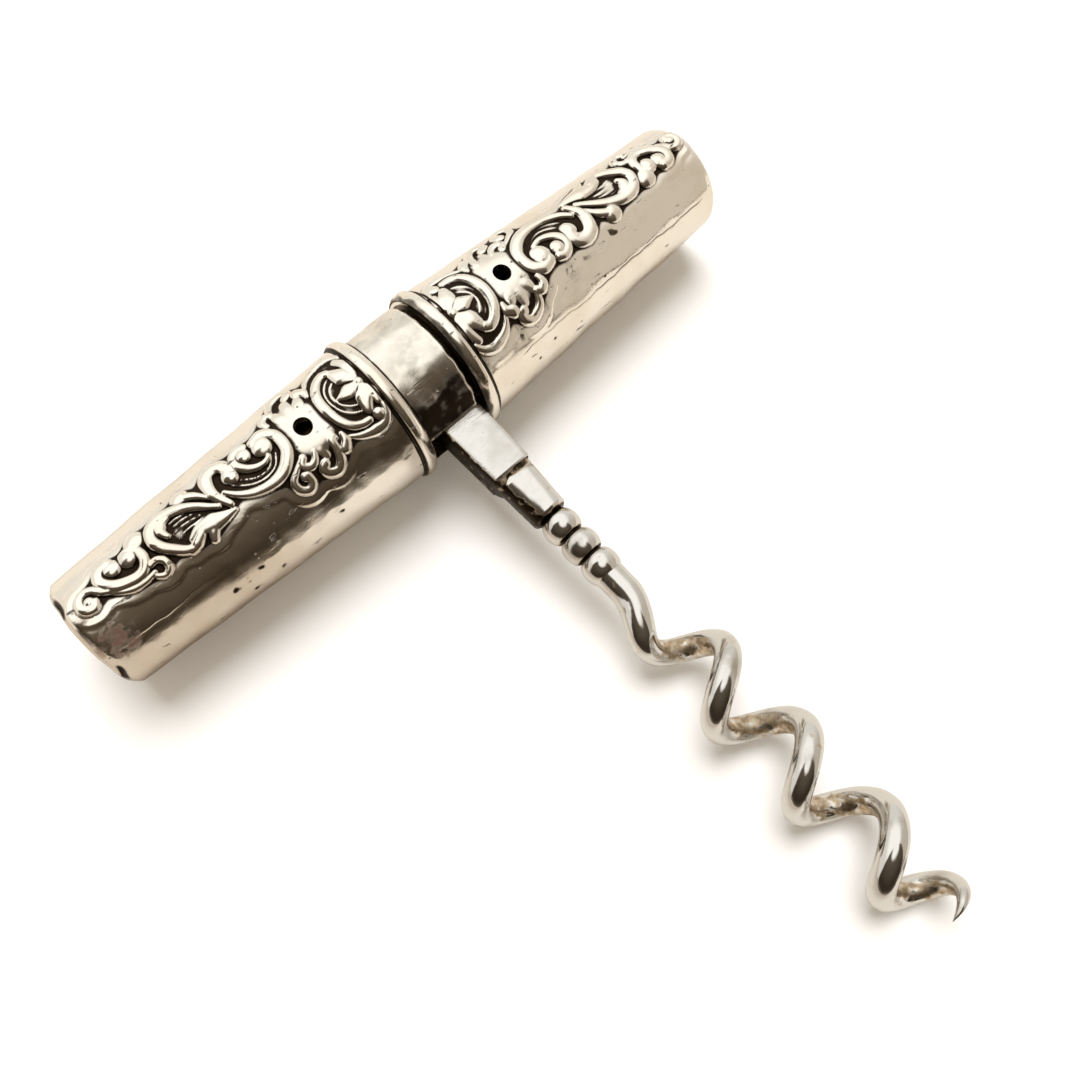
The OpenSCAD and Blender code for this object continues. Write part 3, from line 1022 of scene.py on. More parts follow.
@dataclass(frozen=True)
class CaseWear:
    """What striking and use have done to one case, and where shade is painted on it.

    Distances run from the mouth and angles from the top line, in radians. These values are the left case's.

    Attributes:
        drift: how its striking runs off the die, as (along, shift along, shift across).
        fullness: how much wider than drawn its strokes are struck.
        vein_height: how high its veins are struck, as a share of their drawn height.
        seed: seed of its hammered waves.
        wave: height of those waves.
        wave_sizes: sizes of the wide and of the fine waves.
        fine_wave: height of the fine waves, as a share.
        lip: width of the turned-in edge at the outer end.
        lip_slope: how steeply that edge turns in.
        lip_round: rounding of the line where it turns.
        lip_turn: angle by which that line's wander is turned.
        lip_wander: how far the line wanders once round and four times round.
        scallop: height of its nine scallops.
        notches: angles of the pinched places in the lip, which are darkened with painted shade.
        notch_half: half of the angle that a pinched place takes up.
        notch_at: its distance past the line, and half of its width.
        notch_depth: its depth.
        foot_line: distance from the rim of the dirty line beside it, and half of that line's width.
        mouth_shade: how dark the rim is painted at the mouth, as shade beside the collar.
        crease_at: angle of the crease on the worm's side.
        crease_from: distance where the crease starts.
        crease_half: half of its width.
        crease_depth: its depth.
        crease_dirt: how dirty it is.
        is_flattened: whether the worm's side has a facet, and the end a flare.
        facet: angle where the facet leaves the round, and angle of the fold that ends it.
        facet_to: distance where the facet has gone.
        flare: how far the sheet flares near the outer end.
        flare_at: distance and angle where it does.
        flare_over: length and half angle over which it grows.
        pits: dark pits, as (distance, angle, radius).
        pit_stretch: how much longer than wide a pit is.
    """

    drift: tuple[Triple, ...] = ((0.0, 0.0, 0.0), (38.0, 0.0, 0.0))
    fullness: float = 1.75
    vein_height: float = 1.0
    seed: int = 11
    wave: float = 0.036
    wave_sizes: Range = (7.0, 2.6)
    fine_wave: float = 0.25
    lip: float = 0.9
    lip_slope: float = 0.8
    lip_round: float = 0.12
    lip_turn: float = 0.0
    lip_wander: Range = (0.2, 0.14)
    scallop: float = 0.13
    notches: tuple[float, ...] = (-0.3, 1.3)
    notch_half: float = 0.26
    notch_at: Range = (0.55, 0.3)
    notch_depth: float = 0.25
    foot_line: Range = (0.12, 0.13)
    mouth_shade: float = 0.0
    crease_at: float = 0.84
    crease_from: float = 22.0
    crease_half: float = 0.13
    crease_depth: float = 0.04
    crease_dirt: float = 0.0
    is_flattened: bool = True
    facet: Range = (0.97, 1.12)
    facet_to: float = 30.0
    flare: float = 0.45
    flare_at: Range = (31.5, 0.42)
    flare_over: Range = (5.0, 0.35)
    pits: tuple[Triple, ...] = (
        (24.7, 1.22, 0.3), (21.3, 1.14, 0.2), (19.6, 1.42, 0.26), (22.9, 1.46, 0.24), (11.6, 1.2, 0.18)
    )
    pit_stretch: float = 1.6


@dataclass
class Case:
    """One tapered case of the handle, with its rim and its end disc.

    Attributes:
        side: which half it is.
        wear: what striking and use have done to it.
        wall: thickness of the sheet.
        rim_width: width of the cylinder under the rim.
        rim_round: width and height of the rim's rounded edge.
        rim_foot: steps of the rim's foot, as distance from its end and depth under its top.
        rim_wear: how far the rim has worn.
        seat: gap between pieces that are joined.
        relief_clear: how far under the rim's top the relief stays.
        end_round: rounding of the outer edge.
        disc_dish: the disc's face, as depth and share of its radius.
        disc_wear: depth of the disc's dents.
        hole_at: distance of the round hole from the mouth.
        hole_radius: its radius.
        roll_radius: radius at which the flat pattern is measured.
        fine_reach: how far on each side of the top line the columns are close.
    """

    side: Side
    wear: CaseWear
    wall: float = 0.5
    rim_width: float = 1.6
    rim_round: Range = (0.85, 0.62)
    rim_foot: tuple[Point, ...] = ((0.42, 0.02), (0.25, 0.12), (0.2, 0.24), (0.06, 0.27), (0.0, 0.36))
    rim_wear: float = 0.02
    seat: float = 0.02
    relief_clear: float = 0.03
    end_round: float = 0.4
    disc_dish: tuple[Point, ...] = (
        (0.16, 0.0), (0.15, 0.35), (0.1, 0.7), (0.02, 0.93), (0.0, 0.97), (0.06, 1.0)
    )
    disc_wear: float = 0.02
    hole_at: float = 9.5
    hole_radius: float = 0.96
    roll_radius: float = 7.5
    fine_reach: float = 6.2

    def __post_init__(self) -> None:
        """Takes the case's place and sizes from the solids."""
        low, high = (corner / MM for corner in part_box(f"{self.side.value}_shell"))
        disc_low, disc_high = (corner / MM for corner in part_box(f"{self.side.value}_end_cap"))
        self.length = high.x - low.x
        self.mouth = low.x if self.side is Side.RIGHT else high.x
        self.mouth_radius = high.z
        self.rim_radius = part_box(f"{self.side.value}_rim")[1].z / MM
        self.disc_radius = disc_high.z
        self.end_radius = self.disc_radius + self.wall
        face = disc_high.x if self.side is Side.RIGHT else disc_low.x
        self.disc_face = abs(face - self.mouth)
        self.relief = Relief(
            self.wear.drift, self.length, fullness=self.wear.fullness, vein_height=self.wear.vein_height,
            worm_side=-self.side.outward,
        )

    def radius_at(self, along: Array) -> Array:
        """Gives the plain outer radius at a distance from the mouth."""
        share = np.clip((along - self.rim_width) / (self.length - self.rim_width), 0, 1)
        return self.mouth_radius + (self.end_radius - self.mouth_radius) * share

    def build(self, finishes: Finishes) -> None:
        """Builds and hangs the shell, the rim and the disc.

        Args:
            finishes: the shared materials.
        """
        for node, piece in (
            ("shell", self._shell(finishes.silver)),
            ("rim", self._rim(finishes.silver)),
            ("end_cap", self._disc(finishes.silver)),
        ):
            dress(piece, self.side.body, f"{self.side.value}_{node}")

    def _outline(self) -> tuple[Array, Array, Array]:
        """Draws the sheet's outline: out along the case, round its end and back inside.

        Returns:
            Distance from the mouth, radius, and whether the relief shows, for each row.
        """
        outer = np.arange(0, self.length - self.end_round, self.relief.cell)
        turn = np.linspace(0, math.pi / 2, 6)
        round_along = self.length - self.end_round * (1 - np.sin(turn))
        round_radius = self.end_radius - self.end_round * (1 - np.cos(turn))
        inside = np.concatenate([
            np.linspace(self.length, self.disc_face - 1, 5),
            np.linspace(self.disc_face - 3, self.hole_at + 2, 6),
            np.linspace(self.hole_at + 1.6, self.hole_at - 1.6, 24),
            np.linspace(self.hole_at - 2.5, 0, 5),
        ])
        along = np.concatenate([outer, round_along, inside, [0]])
        radius = np.concatenate([
            self.radius_at(outer), round_radius, self.radius_at(inside) - self.wall, [self.mouth_radius]
        ])
        shows = np.concatenate([np.ones(len(outer) + len(turn)), np.zeros(len(inside)), [1]])
        return along, radius, shows

    def _angles(self) -> Array:
        """Spaces the columns: close over the relief, the crease and the fold, and wider under the case.

        Returns:
            The columns' angles from the top line, in radians.
        """
        cell = self.relief.cell
        fine = np.arange(-self.fine_reach, self.fine_reach + cell / 2, cell) / self.roll_radius
        under = np.linspace(fine[-1], math.pi, 34)[1:]
        crease = -self.side.outward * (self.wear.crease_at + np.linspace(-0.06, 0.06, 15))
        folded = -self.side.outward * np.linspace(0.92, 1.4, 25)
        return np.unique(np.round(np.concatenate([-under, fine, under, crease, folded]), 5))

    def _shell(self, material: bpy.types.Material) -> bpy.types.Object:
        """Builds the case's sheet from its flat pattern.

        Args:
            material: the silver.

        Returns:
            The piece.
        """
        along, radius, shows = self._outline()
        angles = self._angles()
        sheet, share = flat_grid(len(angles) - 1, len(along) - 1)
        column = np.rint(share[:, 0] * (len(angles) - 1)).astype(int)
        row = np.rint(share[:, 1] * (len(along) - 1)).astype(int)
        for vertex, c, r in zip(sheet.verts, column, row):
            vertex.co = (along[r], angles[c] * self.roll_radius, r)
        rims = self._pierce(sheet)
        flat = np.array([v.co for v in sheet.verts])
        row = np.rint(flat[:, 2]).astype(int)
        angle = flat[:, 1] / self.roll_radius
        plain = radius[row]
        raised = self.relief.sample(self.relief.heights, flat[:, 0], flat[:, 1]) * shows[row]
        raised = np.minimum(raised, self.rim_radius - self.relief_clear - plain)
        drop, darkening = self._wear(flat[:, 0], angle)
        tarnish_and_shade = self.relief.sample(self.relief.tarnish_and_shade, flat[:, 0], flat[:, 1])
        # The stored number is tarnish, dirt and painted shade.
        store(sheet, np.maximum(tarnish_and_shade, darkening) * shows[row])
        places = rolled(self.side.outward, self.mouth, flat[:, 0], plain, angle)
        hammered = self._waves(places) * ease((flat[:, 0] - self.rim_width) / 2) * shows[row]
        places = rolled(self.side.outward, self.mouth, flat[:, 0], plain + raised + hammered - drop, angle)
        place_vertices(sheet, places)
        bmesh.ops.remove_doubles(sheet, verts=sheet.verts, dist=2e-7)
        loops = [edge for edge in sheet.edges if edge.is_boundary]
        bmesh.ops.bridge_loops(sheet, edges=loops)
        LOG.info("%s hole: %d edges joined, %d pierced", self.side.value, len(loops), rims)
        return finished_piece(f"{self.side.value}_case", sheet, material, 60.0)

    def _waves(self, places: Array) -> Array:
        """Works out the hammered waves.

        Args:
            places: the vertices, in mm.

        Returns:
            The height of the waves at each place.
        """
        wide, fine = self.wear.wave_sizes
        height = self.wear.wave
        swells = ripples(places, wide, self.wear.seed) * height
        return swells + ripples(places, fine, self.wear.seed + 1) * height * self.wear.fine_wave

    def _wear(self, along: Array, angle: Array) -> tuple[Array, Array]:
        """Works out the lip, the crease, the facet, the flare, the pits and the dirty line beside the rim.

        Args:
            along: distances from the mouth.
            angle: angles from the top line, in radians.

        Returns:
            How far the sheet drops, and how dark it is at each place: dirt beside the rim and in the crease,
            pits, and painted shade in the lip's pinches.
        """
        wear = self.wear
        drop, dirt_and_shade = self._lip(along, angle)
        dirt_and_shade = dirt_and_shade + np.exp(-(((along - self.rim_width - wear.foot_line[0]) / wear.foot_line[1]) ** 2))
        ragged = 1 + 0.3 * np.sin(along * 4 + 9 * angle) + 0.2 * np.sin(along * 9 - 21 * angle)
        for pit_along, pit_angle, size in wear.pits:
            away = np.hypot((along - pit_along) / wear.pit_stretch, (angle - pit_angle) * self.end_radius)
            dirt_and_shade = dirt_and_shade + np.exp(-((away / (size * ragged)) ** 2))
        if wear.is_flattened:
            grown = ease((along - wear.flare_at[0]) / wear.flare_over[0])
            flared = grown * np.exp(-(((angle - wear.flare_at[1]) / wear.flare_over[1]) ** 2))
            drop = drop - self._facet(along, angle) - wear.flare * flared
        line = self._crease(along, angle)
        dirty = wear.crease_dirt * line * (0.4 + 0.6 * ease((along - 14) / 6))
        return drop + wear.crease_depth * line, dirt_and_shade + dirty

    def _lip(self, along: Array, angle: Array) -> tuple[Array, Array]:
        """Turns the outer edge in along a wandering line, and pinches it in places.

        Args:
            along: distances from the mouth.
            angle: angles from the top line, in radians.

        Returns:
            How far the sheet drops, and how dark its pinches are painted as shade, at each place.
        """
        wear = self.wear
        once, four_times = wear.lip_wander
        edge = self.length - wear.lip - once * np.sin(angle + wear.lip_turn)
        edge = edge + four_times * np.sin(4 * angle + 0.6 + wear.lip_turn)
        past = along - edge - wear.scallop * np.sin(9 * angle + 1)
        # Painted shade: the pinched places of the lip are darkened as well as sunk.
        pinched = sum(np.exp(-(((angle - at) / wear.notch_half) ** 4)) for at in wear.notches)
        pinched = pinched * np.exp(-(((past - wear.notch_at[0]) / wear.notch_at[1]) ** 2))
        drop = wear.lip_slope * (np.sqrt(past**2 + wear.lip_round**2) + past) / 2
        return drop + wear.notch_depth * pinched, pinched

    def _crease(self, along: Array, angle: Array) -> Array:
        """Runs a wandering crease along the worm's side.

        Args:
            along: distances from the mouth.
            angle: angles from the top line, in radians.

        Returns:
            How deep in the crease each place is, from 0 to 1.
        """
        wander = 0.014 * np.sin(along * 0.45) + 0.01 * np.sin(along * 1.3) + 0.006 * np.sin(along * 3.1)
        off = (angle + self.side.outward * (self.wear.crease_at + wander)) * self.end_radius
        faded = ease((along - self.wear.crease_from) / 6) * ease((self.length - 1.5 - along) / 2)
        return np.exp(-((off / self.wear.crease_half) ** 2)) * faded

    def _facet(self, along: Array, angle: Array) -> Array:
        """Flattens the worm's side into a long facet that ends in a soft fold.

        Args:
            along: distances from the mouth.
            angle: angles from the top line, in radians.

        Returns:
            How far the sheet stands out of the round at each place.
        """
        start, end = self.wear.facet
        around = -self.side.outward * angle
        fold = end + 0.02 * np.sin(along * 0.9) + 0.012 * np.sin(along * 2.3 + 1)
        rise = np.clip(around - start, 0, None) ** 2 * self.roll_radius / 2
        crest = (fold - start) ** 2 * self.roll_radius / 2
        fall = crest * (1 - ease((around - fold) / 0.6))
        held = ease((along - self.rim_width) / 3) * ease((self.wear.facet_to - along) / 12)
        return np.where(around < fold, rise, fall) * held

    def _pierce(self, sheet: bmesh.types.BMesh) -> int:
        """Cuts the round hole through both walls of the flat pattern.

        Args:
            sheet: the flat pattern, whose vertices hold (along, across, row).

        Returns:
            How many vertices stand round the hole.
        """
        centre = Vector((self.hole_at, 0.0))
        gone = [f for f in sheet.faces if (f.calc_center_median().xy - centre).length < self.hole_radius]
        bmesh.ops.delete(sheet, geom=gone, context="FACES")
        near = 1.6 * self.hole_radius
        edge = [v for v in sheet.verts if v.is_boundary and (v.co.xy - centre).length < near]
        for vertex in edge:
            around = vertex.co.xy - centre
            vertex.co.xy = centre + around * (self.hole_radius / around.length)
        return len(edge)

    def _rim(self, material: bpy.types.Material) -> bpy.types.Object:
        """Spins the applied ring at the mouth.

        Args:
            material: the silver.

        Returns:
            The piece.
        """
        low, high = (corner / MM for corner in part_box(f"{self.side.value}_rim"))
        width, outer, inner = high.x - low.x, high.z, self.mouth_radius + self.seat
        across, tall = self.rim_round
        turn = np.linspace(0, math.pi / 2, 9)
        rounded = [(across - across * math.cos(t), outer - tall + tall * math.sin(t)) for t in turn]
        foot = [(width - before, outer - under) for before, under in self.rim_foot]
        start = low.x if self.side is Side.RIGHT else high.x
        ring = spun(start, self.side.outward, [(0.0, inner), *rounded, *foot, (width, inner)], 240, True)
        places = np.array([v.co for v in ring.verts])
        reach = np.hypot(places[:, 1], places[:, 2])
        wear = (ripples(places, 5.0, 31) + 1.6) * self.rim_wear * ((reach - inner) / (outer - inner))
        places[:, 1:] *= (1 - np.clip(wear, 0, 0.1) / reach)[:, None]
        place_vertices(ring, places)
        from_mouth = np.abs(places[:, 0] - start)
        at_foot = ease((from_mouth - width + 0.3) / 0.15)
        # Painted shade on the rim's mouth side, beside the collar.
        at_mouth = ease((0.55 + 0.12 * ripples(places, 2.0, 37) - from_mouth) / 0.35)
        store(ring, np.maximum(at_foot, at_mouth * self.wear.mouth_shade))
        return finished_piece(f"{self.side.value}_mouth_ring", ring, material, 50.0)

    def _disc(self, material: bpy.types.Material) -> bpy.types.Object:
        """Spins the dished disc that closes the outer end.

        Args:
            material: the silver.

        Returns:
            The piece.
        """
        low, high = (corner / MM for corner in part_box(f"{self.side.value}_end_cap"))
        thick, edge = high.x - low.x, self.disc_radius - self.seat
        face = high.x if self.side is Side.RIGHT else low.x
        dished = [(depth, edge * share) for depth, share in self.disc_dish]
        disc = spun(face, -self.side.outward, [*dished, (thick, edge), (thick, 0.0)], 120, False)
        places = np.array([v.co for v in disc.verts])
        is_front = np.abs(places[:, 0] - face) < 0.2
        dents = np.clip(ripples(places, 4.0, 41) + 1, 0, 3) * self.disc_wear * is_front
        places[:, 0] -= self.side.outward * dents
        reach = np.hypot(places[:, 1], places[:, 2])
        angle = np.arctan2(self.side.outward * places[:, 1], places[:, 2])
        turned_in = self._wear(np.full(len(angle), self.disc_face), angle)[0] + 0.05
        places[:, 1:] *= (1 - turned_in / edge)[:, None]
        place_vertices(disc, places)
        store(disc, ease((reach / edge - 0.86) / 0.12) * 0.9)
        return finished_piece(f"{self.side.value}_end_disc", disc, material, 35.0)


@dataclass
class Collar:
    """The plain band between the cases, open on the worm's side.

    Attributes:
        slot: half of the opening's height.
        thickness: thickness of the band.
        edge_round: rounding of its edges.
        dent: depth of its dents.
        fine_dent: depth of the small dents, as a share.
        spread: how far its worn edge has spread towards the right rim.
        ragged: how far that edge wanders.
        sunk: width of the sunk border at the slot, and its depth.
        tarnish_to: distance from the slot where the tarnish ends.
        tarnish_over: distance over which it fades.
        tarnish_share: how dark it is.
        dull: how dark the plain metal is.
        bright_edge_from: share of the width past which the spread edge is kept bright, as polish and a
            painted highlight.
        columns: faces round the band.
        rows: faces across it.
    """

    slot: float = 2.5
    thickness: float = 0.9
    edge_round: float = 0.25
    dent: float = 0.04
    fine_dent: float = 0.45
    spread: float = 0.7
    ragged: float = 0.11
    sunk: Range = (1.2, 0.1)
    tarnish_to: float = 5.7
    tarnish_over: float = 2.4
    tarnish_share: float = 0.74
    dull: float = 0.29
    bright_edge_from: float = 0.93
    columns: int = 190
    rows: int = 36

    def build(self, finishes: Finishes) -> None:
        """Builds and hangs the band.

        Args:
            finishes: the shared materials.
        """
        low, high = (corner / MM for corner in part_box("collar"))
        outer = high.z
        sheet, share = flat_grid(self.columns, self.rows)
        gap = math.asin(self.slot / outer)
        sweep = 2 * math.pi - 2 * gap
        angle = -math.pi / 2 + gap + share[:, 0] * sweep
        width = high.x - low.x + self.spread
        along = low.x + share[:, 1] * width
        places = np.column_stack([along, outer * np.sin(angle), outer * np.cos(angle)])
        to_edge = np.minimum(share[:, 1], 1 - share[:, 1]) * width
        to_slot = np.minimum(share[:, 0], 1 - share[:, 0]) * sweep * outer
        curl = np.clip(1 - to_edge / self.edge_round, 0, 1)
        drop = self.edge_round * (1 - np.sqrt(1 - curl**2))
        dents = (ripples(places, 5.5, 53) + 1.3) * self.dent
        dents = dents + (ripples(places, 2.2, 57) + 1) * self.dent * self.fine_dent
        radius = outer - drop - np.clip(dents, 0, 0.2)
        ragged = ripples(places * (0.3, 1, 1), 2.0, 61) * self.ragged
        along = along - (share[:, 1] ** 6) * np.clip(ragged + 0.12, 0, 0.35)
        near_slot = np.clip(1 - to_slot / self.sunk[0], 0, 1)
        radius = radius - near_slot**2 * self.sunk[1]
        places = np.column_stack([along, radius * np.sin(angle), radius * np.cos(angle)])
        place_vertices(sheet, places)
        store(sheet, self._tarnish(share, along - low.x, to_slot, places))
        bmesh.ops.recalc_face_normals(sheet, faces=sheet.faces)
        sample = next(iter(sheet.faces))
        outwards = sample.normal.yz.dot(sample.calc_center_median().yz) > 0
        bmesh.ops.solidify(sheet, geom=sheet.faces, thickness=self.thickness * MM * (1 if outwards else -1))
        piece = finished_piece("slotted_collar", sheet, finishes.silver, 55.0)
        dress(piece, Side.LEFT.body, "collar")

    def _tarnish(self, share: Array, from_left: Array, to_slot: Array, places: Array) -> Array:
        """Darkens the band beside the slot and along its left edge, and keeps its right edge and the slot's
        lower edge bright, as polish and a painted highlight.

        Args:
            share: share round the band and across it of each vertex.
            from_left: distance of each vertex from the band's left edge.
            to_slot: distance of each vertex from the slot.
            places: the vertices.

        Returns:
            How dark each vertex is.
        """
        mottled = ripples(places * (0.5, 1, 1), 1.2, 67) * 0.4 + ripples(places, 4.0, 69) * 0.5
        # The slot's lower edge is kept bright: polish and a painted highlight.
        lip = ease((to_slot - 0.22 + 0.1 * mottled) / 0.2)
        tarnish = ease((self.tarnish_to + mottled - to_slot) / self.tarnish_over)
        tarnish = tarnish * np.where(share[:, 0] < 0.5, lip, 1)
        line = np.exp(-(((from_left - 0.12) / 0.14) ** 2))
        # The right edge is kept bright: polish and a painted highlight.
        polished = ease((share[:, 1] - self.bright_edge_from) / 0.04) * ease((0.9 + 0.5 * mottled) / 0.8)
        tarnish = tarnish * (1 - 0.9 * polished)
        dulled = (self.dull + 0.05 * mottled) * (1 - polished)
        return np.maximum.reduce([tarnish * self.tarnish_share, line, dulled])


@dataclass
class Worm:
    """The steel worm: flat tang, waist, three turned beads, stem and helix.

    Distances run from the pivot to the point. The helix repeats the formula of its solid.

    Attributes:
        tang_radius: radius of the tang's round end.
        tang_end_half: half of the tang's width at its shoulder.
        tang_half_thick: half of its thickness.
        bore: radius of its bore for the pivot pin.
        shoulder: where the tang ends.
        shoulder_thick: half of the thickness on the shoulder's edge and at its foot.
        waist_start: half of the waist's width at the shoulder.
        waist_thick: half of its thickness there.
        waist_aside: how far to the right of the axis it starts.
        waist_end: radius of the waist at the beads.
        neck: radius just before the first bead.
        squareness: power of the section on the tang, past the shoulder, before the beads and from there on.
        beads_from: where the first bead starts.
        bead_pitch: from bead to bead.
        bead_count: how many beads.
        bead_radius: radius of a bead.
        groove_radius: radius between the beads.
        bend_from: where the stem leaves the axis.
        bend_length: how far along the axis the bend goes.
        lead_turn: angle that the wire turns back by where it starts to bend, in degrees.
        helix_radius: radius of the wire's middle line.
        helix_pitch: rise of one turn.
        point_angle: angle of the helix at the point, in degrees.
        point_curl: angle by which the point curls in ahead of the helix, in degrees.
        wire: radius of the wire.
        stem_swell: how much thicker the stem starts.
        forged: depth of the waves that forging left.
        point_length: length of the taper to the point.
        point_power: how late in that length the wire thins.
        point_draw: how far the point draws in, as a share of the helix's radius.
        reach: distance of the point from the pivot.
        columns: faces round the forging.
        tang_step: distance from ring to ring on the tang.
        turned_step: the same from the shoulder to the bend.
        wire_step: the same on the helix.
    """

    tang_radius: float = 2.8
    tang_end_half: float = 2.5
    tang_half_thick: float = 2.15
    bore: float = 1.25
    shoulder: float = 15.3
    shoulder_thick: Range = (1.78, 1.68)
    waist_start: float = 2.34
    waist_thick: float = 1.98
    waist_aside: float = 0.08
    waist_end: float = 2.15
    neck: float = 1.98
    squareness: tuple[float, ...] = (11.0, 2.9, 2.2, 2.0)
    beads_from: float = 21.6
    bead_pitch: float = 2.95
    bead_count: int = 3
    bead_radius: float = 2.1
    groove_radius: float = 1.35
    bend_from: float = 32.3
    bend_length: float = 8.1
    lead_turn: float = 190.0
    helix_radius: float = 3.18
    helix_pitch: float = 10.8
    point_angle: float = 112.0
    point_curl: float = 109.0
    wire: float = 1.4
    stem_swell: float = 0.3
    forged: float = 0.012
    point_length: float = 6.0
    point_power: float = 6.5
    point_draw: float = 0.2
    reach: float = 75.5
    columns: int = 56
    tang_step: float = 0.5
    turned_step: float = 0.09
    wire_step: float = 0.12

    def build(self, finishes: Finishes) -> None:
        """Builds and hangs the worm.

        Args:
            finishes: the shared materials.
        """
        stations = self._stations()
        half_width, half_thick, power = self._section(stations)
        middle = self._middle(stations)
        sideways, upward = self._frames(middle)
        sheet, share = flat_grid(self.columns, len(stations) - 1)
        row = np.rint(share[:, 1] * (len(stations) - 1)).astype(int)
        angle = share[:, 0] * 2 * math.pi
        cosine, sine = np.cos(angle), np.sin(angle)
        tiny = 1e-9
        wide, thick, corner = half_width[row] + tiny, half_thick[row] + tiny, power[row]
        reach = (np.abs(cosine / wide) ** corner + np.abs(sine / thick) ** corner) ** (-1 / corner)
        places = middle[row] + sideways[row] * (reach * cosine)[:, None]
        places = places + upward[row] * (reach * sine)[:, None]
        forged = ripples(places, 3.0, 71) * self.forged * (stations[row] > self.shoulder)
        inward = places - middle[row]
        length = np.linalg.norm(inward, axis=1) + tiny
        sunk = np.minimum(np.clip(forged + self.forged, 0, 0.03), length)
        places = places - inward / length[:, None] * sunk[:, None]
        place_vertices(sheet, places)
        flat_side = np.sign(cosine) * np.abs(reach * cosine / wide) ** (corner - 1) / wide
        flat_top = np.sign(sine) * np.abs(reach * sine / thick) ** (corner - 1) / thick
        facing = sideways[row] * flat_side[:, None] + upward[row] * flat_top[:, None]
        facing /= np.linalg.norm(facing, axis=1)[:, None] + tiny
        shade_and_scale = self._shade_and_scale(stations[row], middle[row], facing, places)
        store(sheet, np.maximum(self._groove_and_step_shade(stations)[row], shade_and_scale))
        self._drill(sheet)
        piece = finished_piece("worm_forging", sheet, finishes.steel, 38.0, 1e-6)
        dress(piece, "worm", "worm")

    def _drill(self, forging: bmesh.types.BMesh) -> None:
        """Bores the tang's two flats for the pivot pin.

        Args:
            forging: the worm's mesh, which is changed.
        """
        radius = self.bore * MM
        gone = [f for f in forging.faces if f.calc_center_median().xy.length < radius]
        bmesh.ops.delete(forging, geom=gone, context="FACES")
        edge = {v for v in forging.verts if v.is_boundary and v.co.xy.length < 1.5 * radius}
        for vertex in edge:
            vertex.co.xy = vertex.co.xy * (radius / vertex.co.xy.length)
        loops = [e for e in forging.edges if e.is_boundary and edge.issuperset(e.verts)]
        bmesh.ops.bridge_loops(forging, edges=loops)
        LOG.info("pin's bore: %d edges joined", len(loops))

    def _stations(self) -> Array:
        """Spaces the rings along the worm, closely at the bore and where its section changes.

        Returns:
            Distances of the rings from the pivot.
        """
        round_end = -self.tang_radius * np.cos(np.linspace(0, math.pi / 2, 12))
        return np.concatenate([
            round_end[round_end < -1.6],
            np.linspace(-1.5, 1.5, 21),
            np.arange(2.0, self.shoulder - 0.8, self.tang_step),
            np.arange(self.shoulder - 0.7, self.bend_from, self.turned_step),
            np.arange(self.bend_from, self.reach - self.point_length, self.wire_step),
            self.reach - self.point_length * np.linspace(1, 0, 90) ** 2,
        ])

    def _section(self, s: Array) -> tuple[Array, Array, Array]:
        """Gives the section at each ring.

        Args:
            s: distances of the rings from the pivot.

        Returns:
            Half widths, half thicknesses, and how square the section is.
        """
        edge, beads = self.shoulder, self.beads_from
        to_beads = (self.waist_end, self.neck)
        wide_at = (0.0, edge - 0.2, edge + 0.15, edge + 0.7, beads - 0.5, beads - 0.2)
        wide_is = (self.tang_radius, self.tang_end_half, self.waist_start, self.waist_start, *to_beads)
        thick_at = (edge - 0.25, edge + 0.05, edge + 0.25, edge + 1.0, beads - 0.5, beads - 0.2)
        thick_is = (self.tang_half_thick, *self.shoulder_thick, self.waist_thick, *to_beads)
        wide, thick = np.interp(s, wide_at, wide_is), np.interp(s, thick_at, thick_is)
        wide = np.where(s < 0, np.sqrt(np.clip(self.tang_radius**2 - s**2, 0, None)), wide)
        power = np.interp(s, (edge - 0.3, edge + 0.5, beads - 0.6, beads), self.squareness)
        turned = s > beads - 0.2
        radius = self._turned(s)
        return np.where(turned, radius, wide), np.where(turned, radius, thick), power

    def _turned(self, s: Array) -> Array:
        """Turns the beads, the stem and the wire.

        Args:
            s: distances of the rings from the pivot.

        Returns:
            The radius at each ring.
        """
        beads_end = self.beads_from + self.bead_count * self.bead_pitch
        place = np.mod(s - self.beads_from, self.bead_pitch) / self.bead_pitch * 2 - 1
        crown = np.sqrt(np.clip(1 - (place / 0.95) ** 2, 0, 1))
        bead = self.groove_radius + (self.bead_radius - self.groove_radius) * crown
        before = np.interp(s, (self.beads_from - 0.2, self.beads_from), (self.neck, self.groove_radius))
        bead = np.where(s < self.beads_from, before, bead)
        fade = 1 - ease((s - self.bend_from) / self.bend_length)
        wire = (self.wire + self.stem_swell * fade) * (1 - self._point_share(s) ** self.point_power)
        bead = np.where(s > beads_end - self.bead_pitch / 2, np.maximum(bead, wire), bead)
        return np.where(s < beads_end, bead, wire)

    def _point_share(self, s: Array) -> Array:
        """Gives how far into the point each ring is, from 0 to 1."""
        return np.clip((s - self.reach + self.point_length) / self.point_length, 0, 1)

    def _middle(self, s: Array) -> Array:
        """Draws the middle line: straight to the bend, then a helix that curls in at its point.

        Args:
            s: distances of the rings from the pivot.

        Returns:
            The middle of each ring, in mm.
        """
        point = self._point_share(s)
        bend = np.clip((s - self.bend_from) / self.bend_length, 0, 1)
        radius = self.helix_radius * ease(bend) * (1 - self.point_draw * point**1.5)
        angle = self.point_angle - self.point_curl * (1 - point**6) + self.lead_turn * (1 - bend) ** 2
        angle = np.radians(angle + 360 * (s - self.reach) / self.helix_pitch)
        past = s - self.shoulder
        aside = self.waist_aside * ease(past / 0.3) * (1 - ease((past - 1) / 5))
        return np.column_stack([radius * np.cos(angle) + aside, -s, radius * np.sin(angle)])

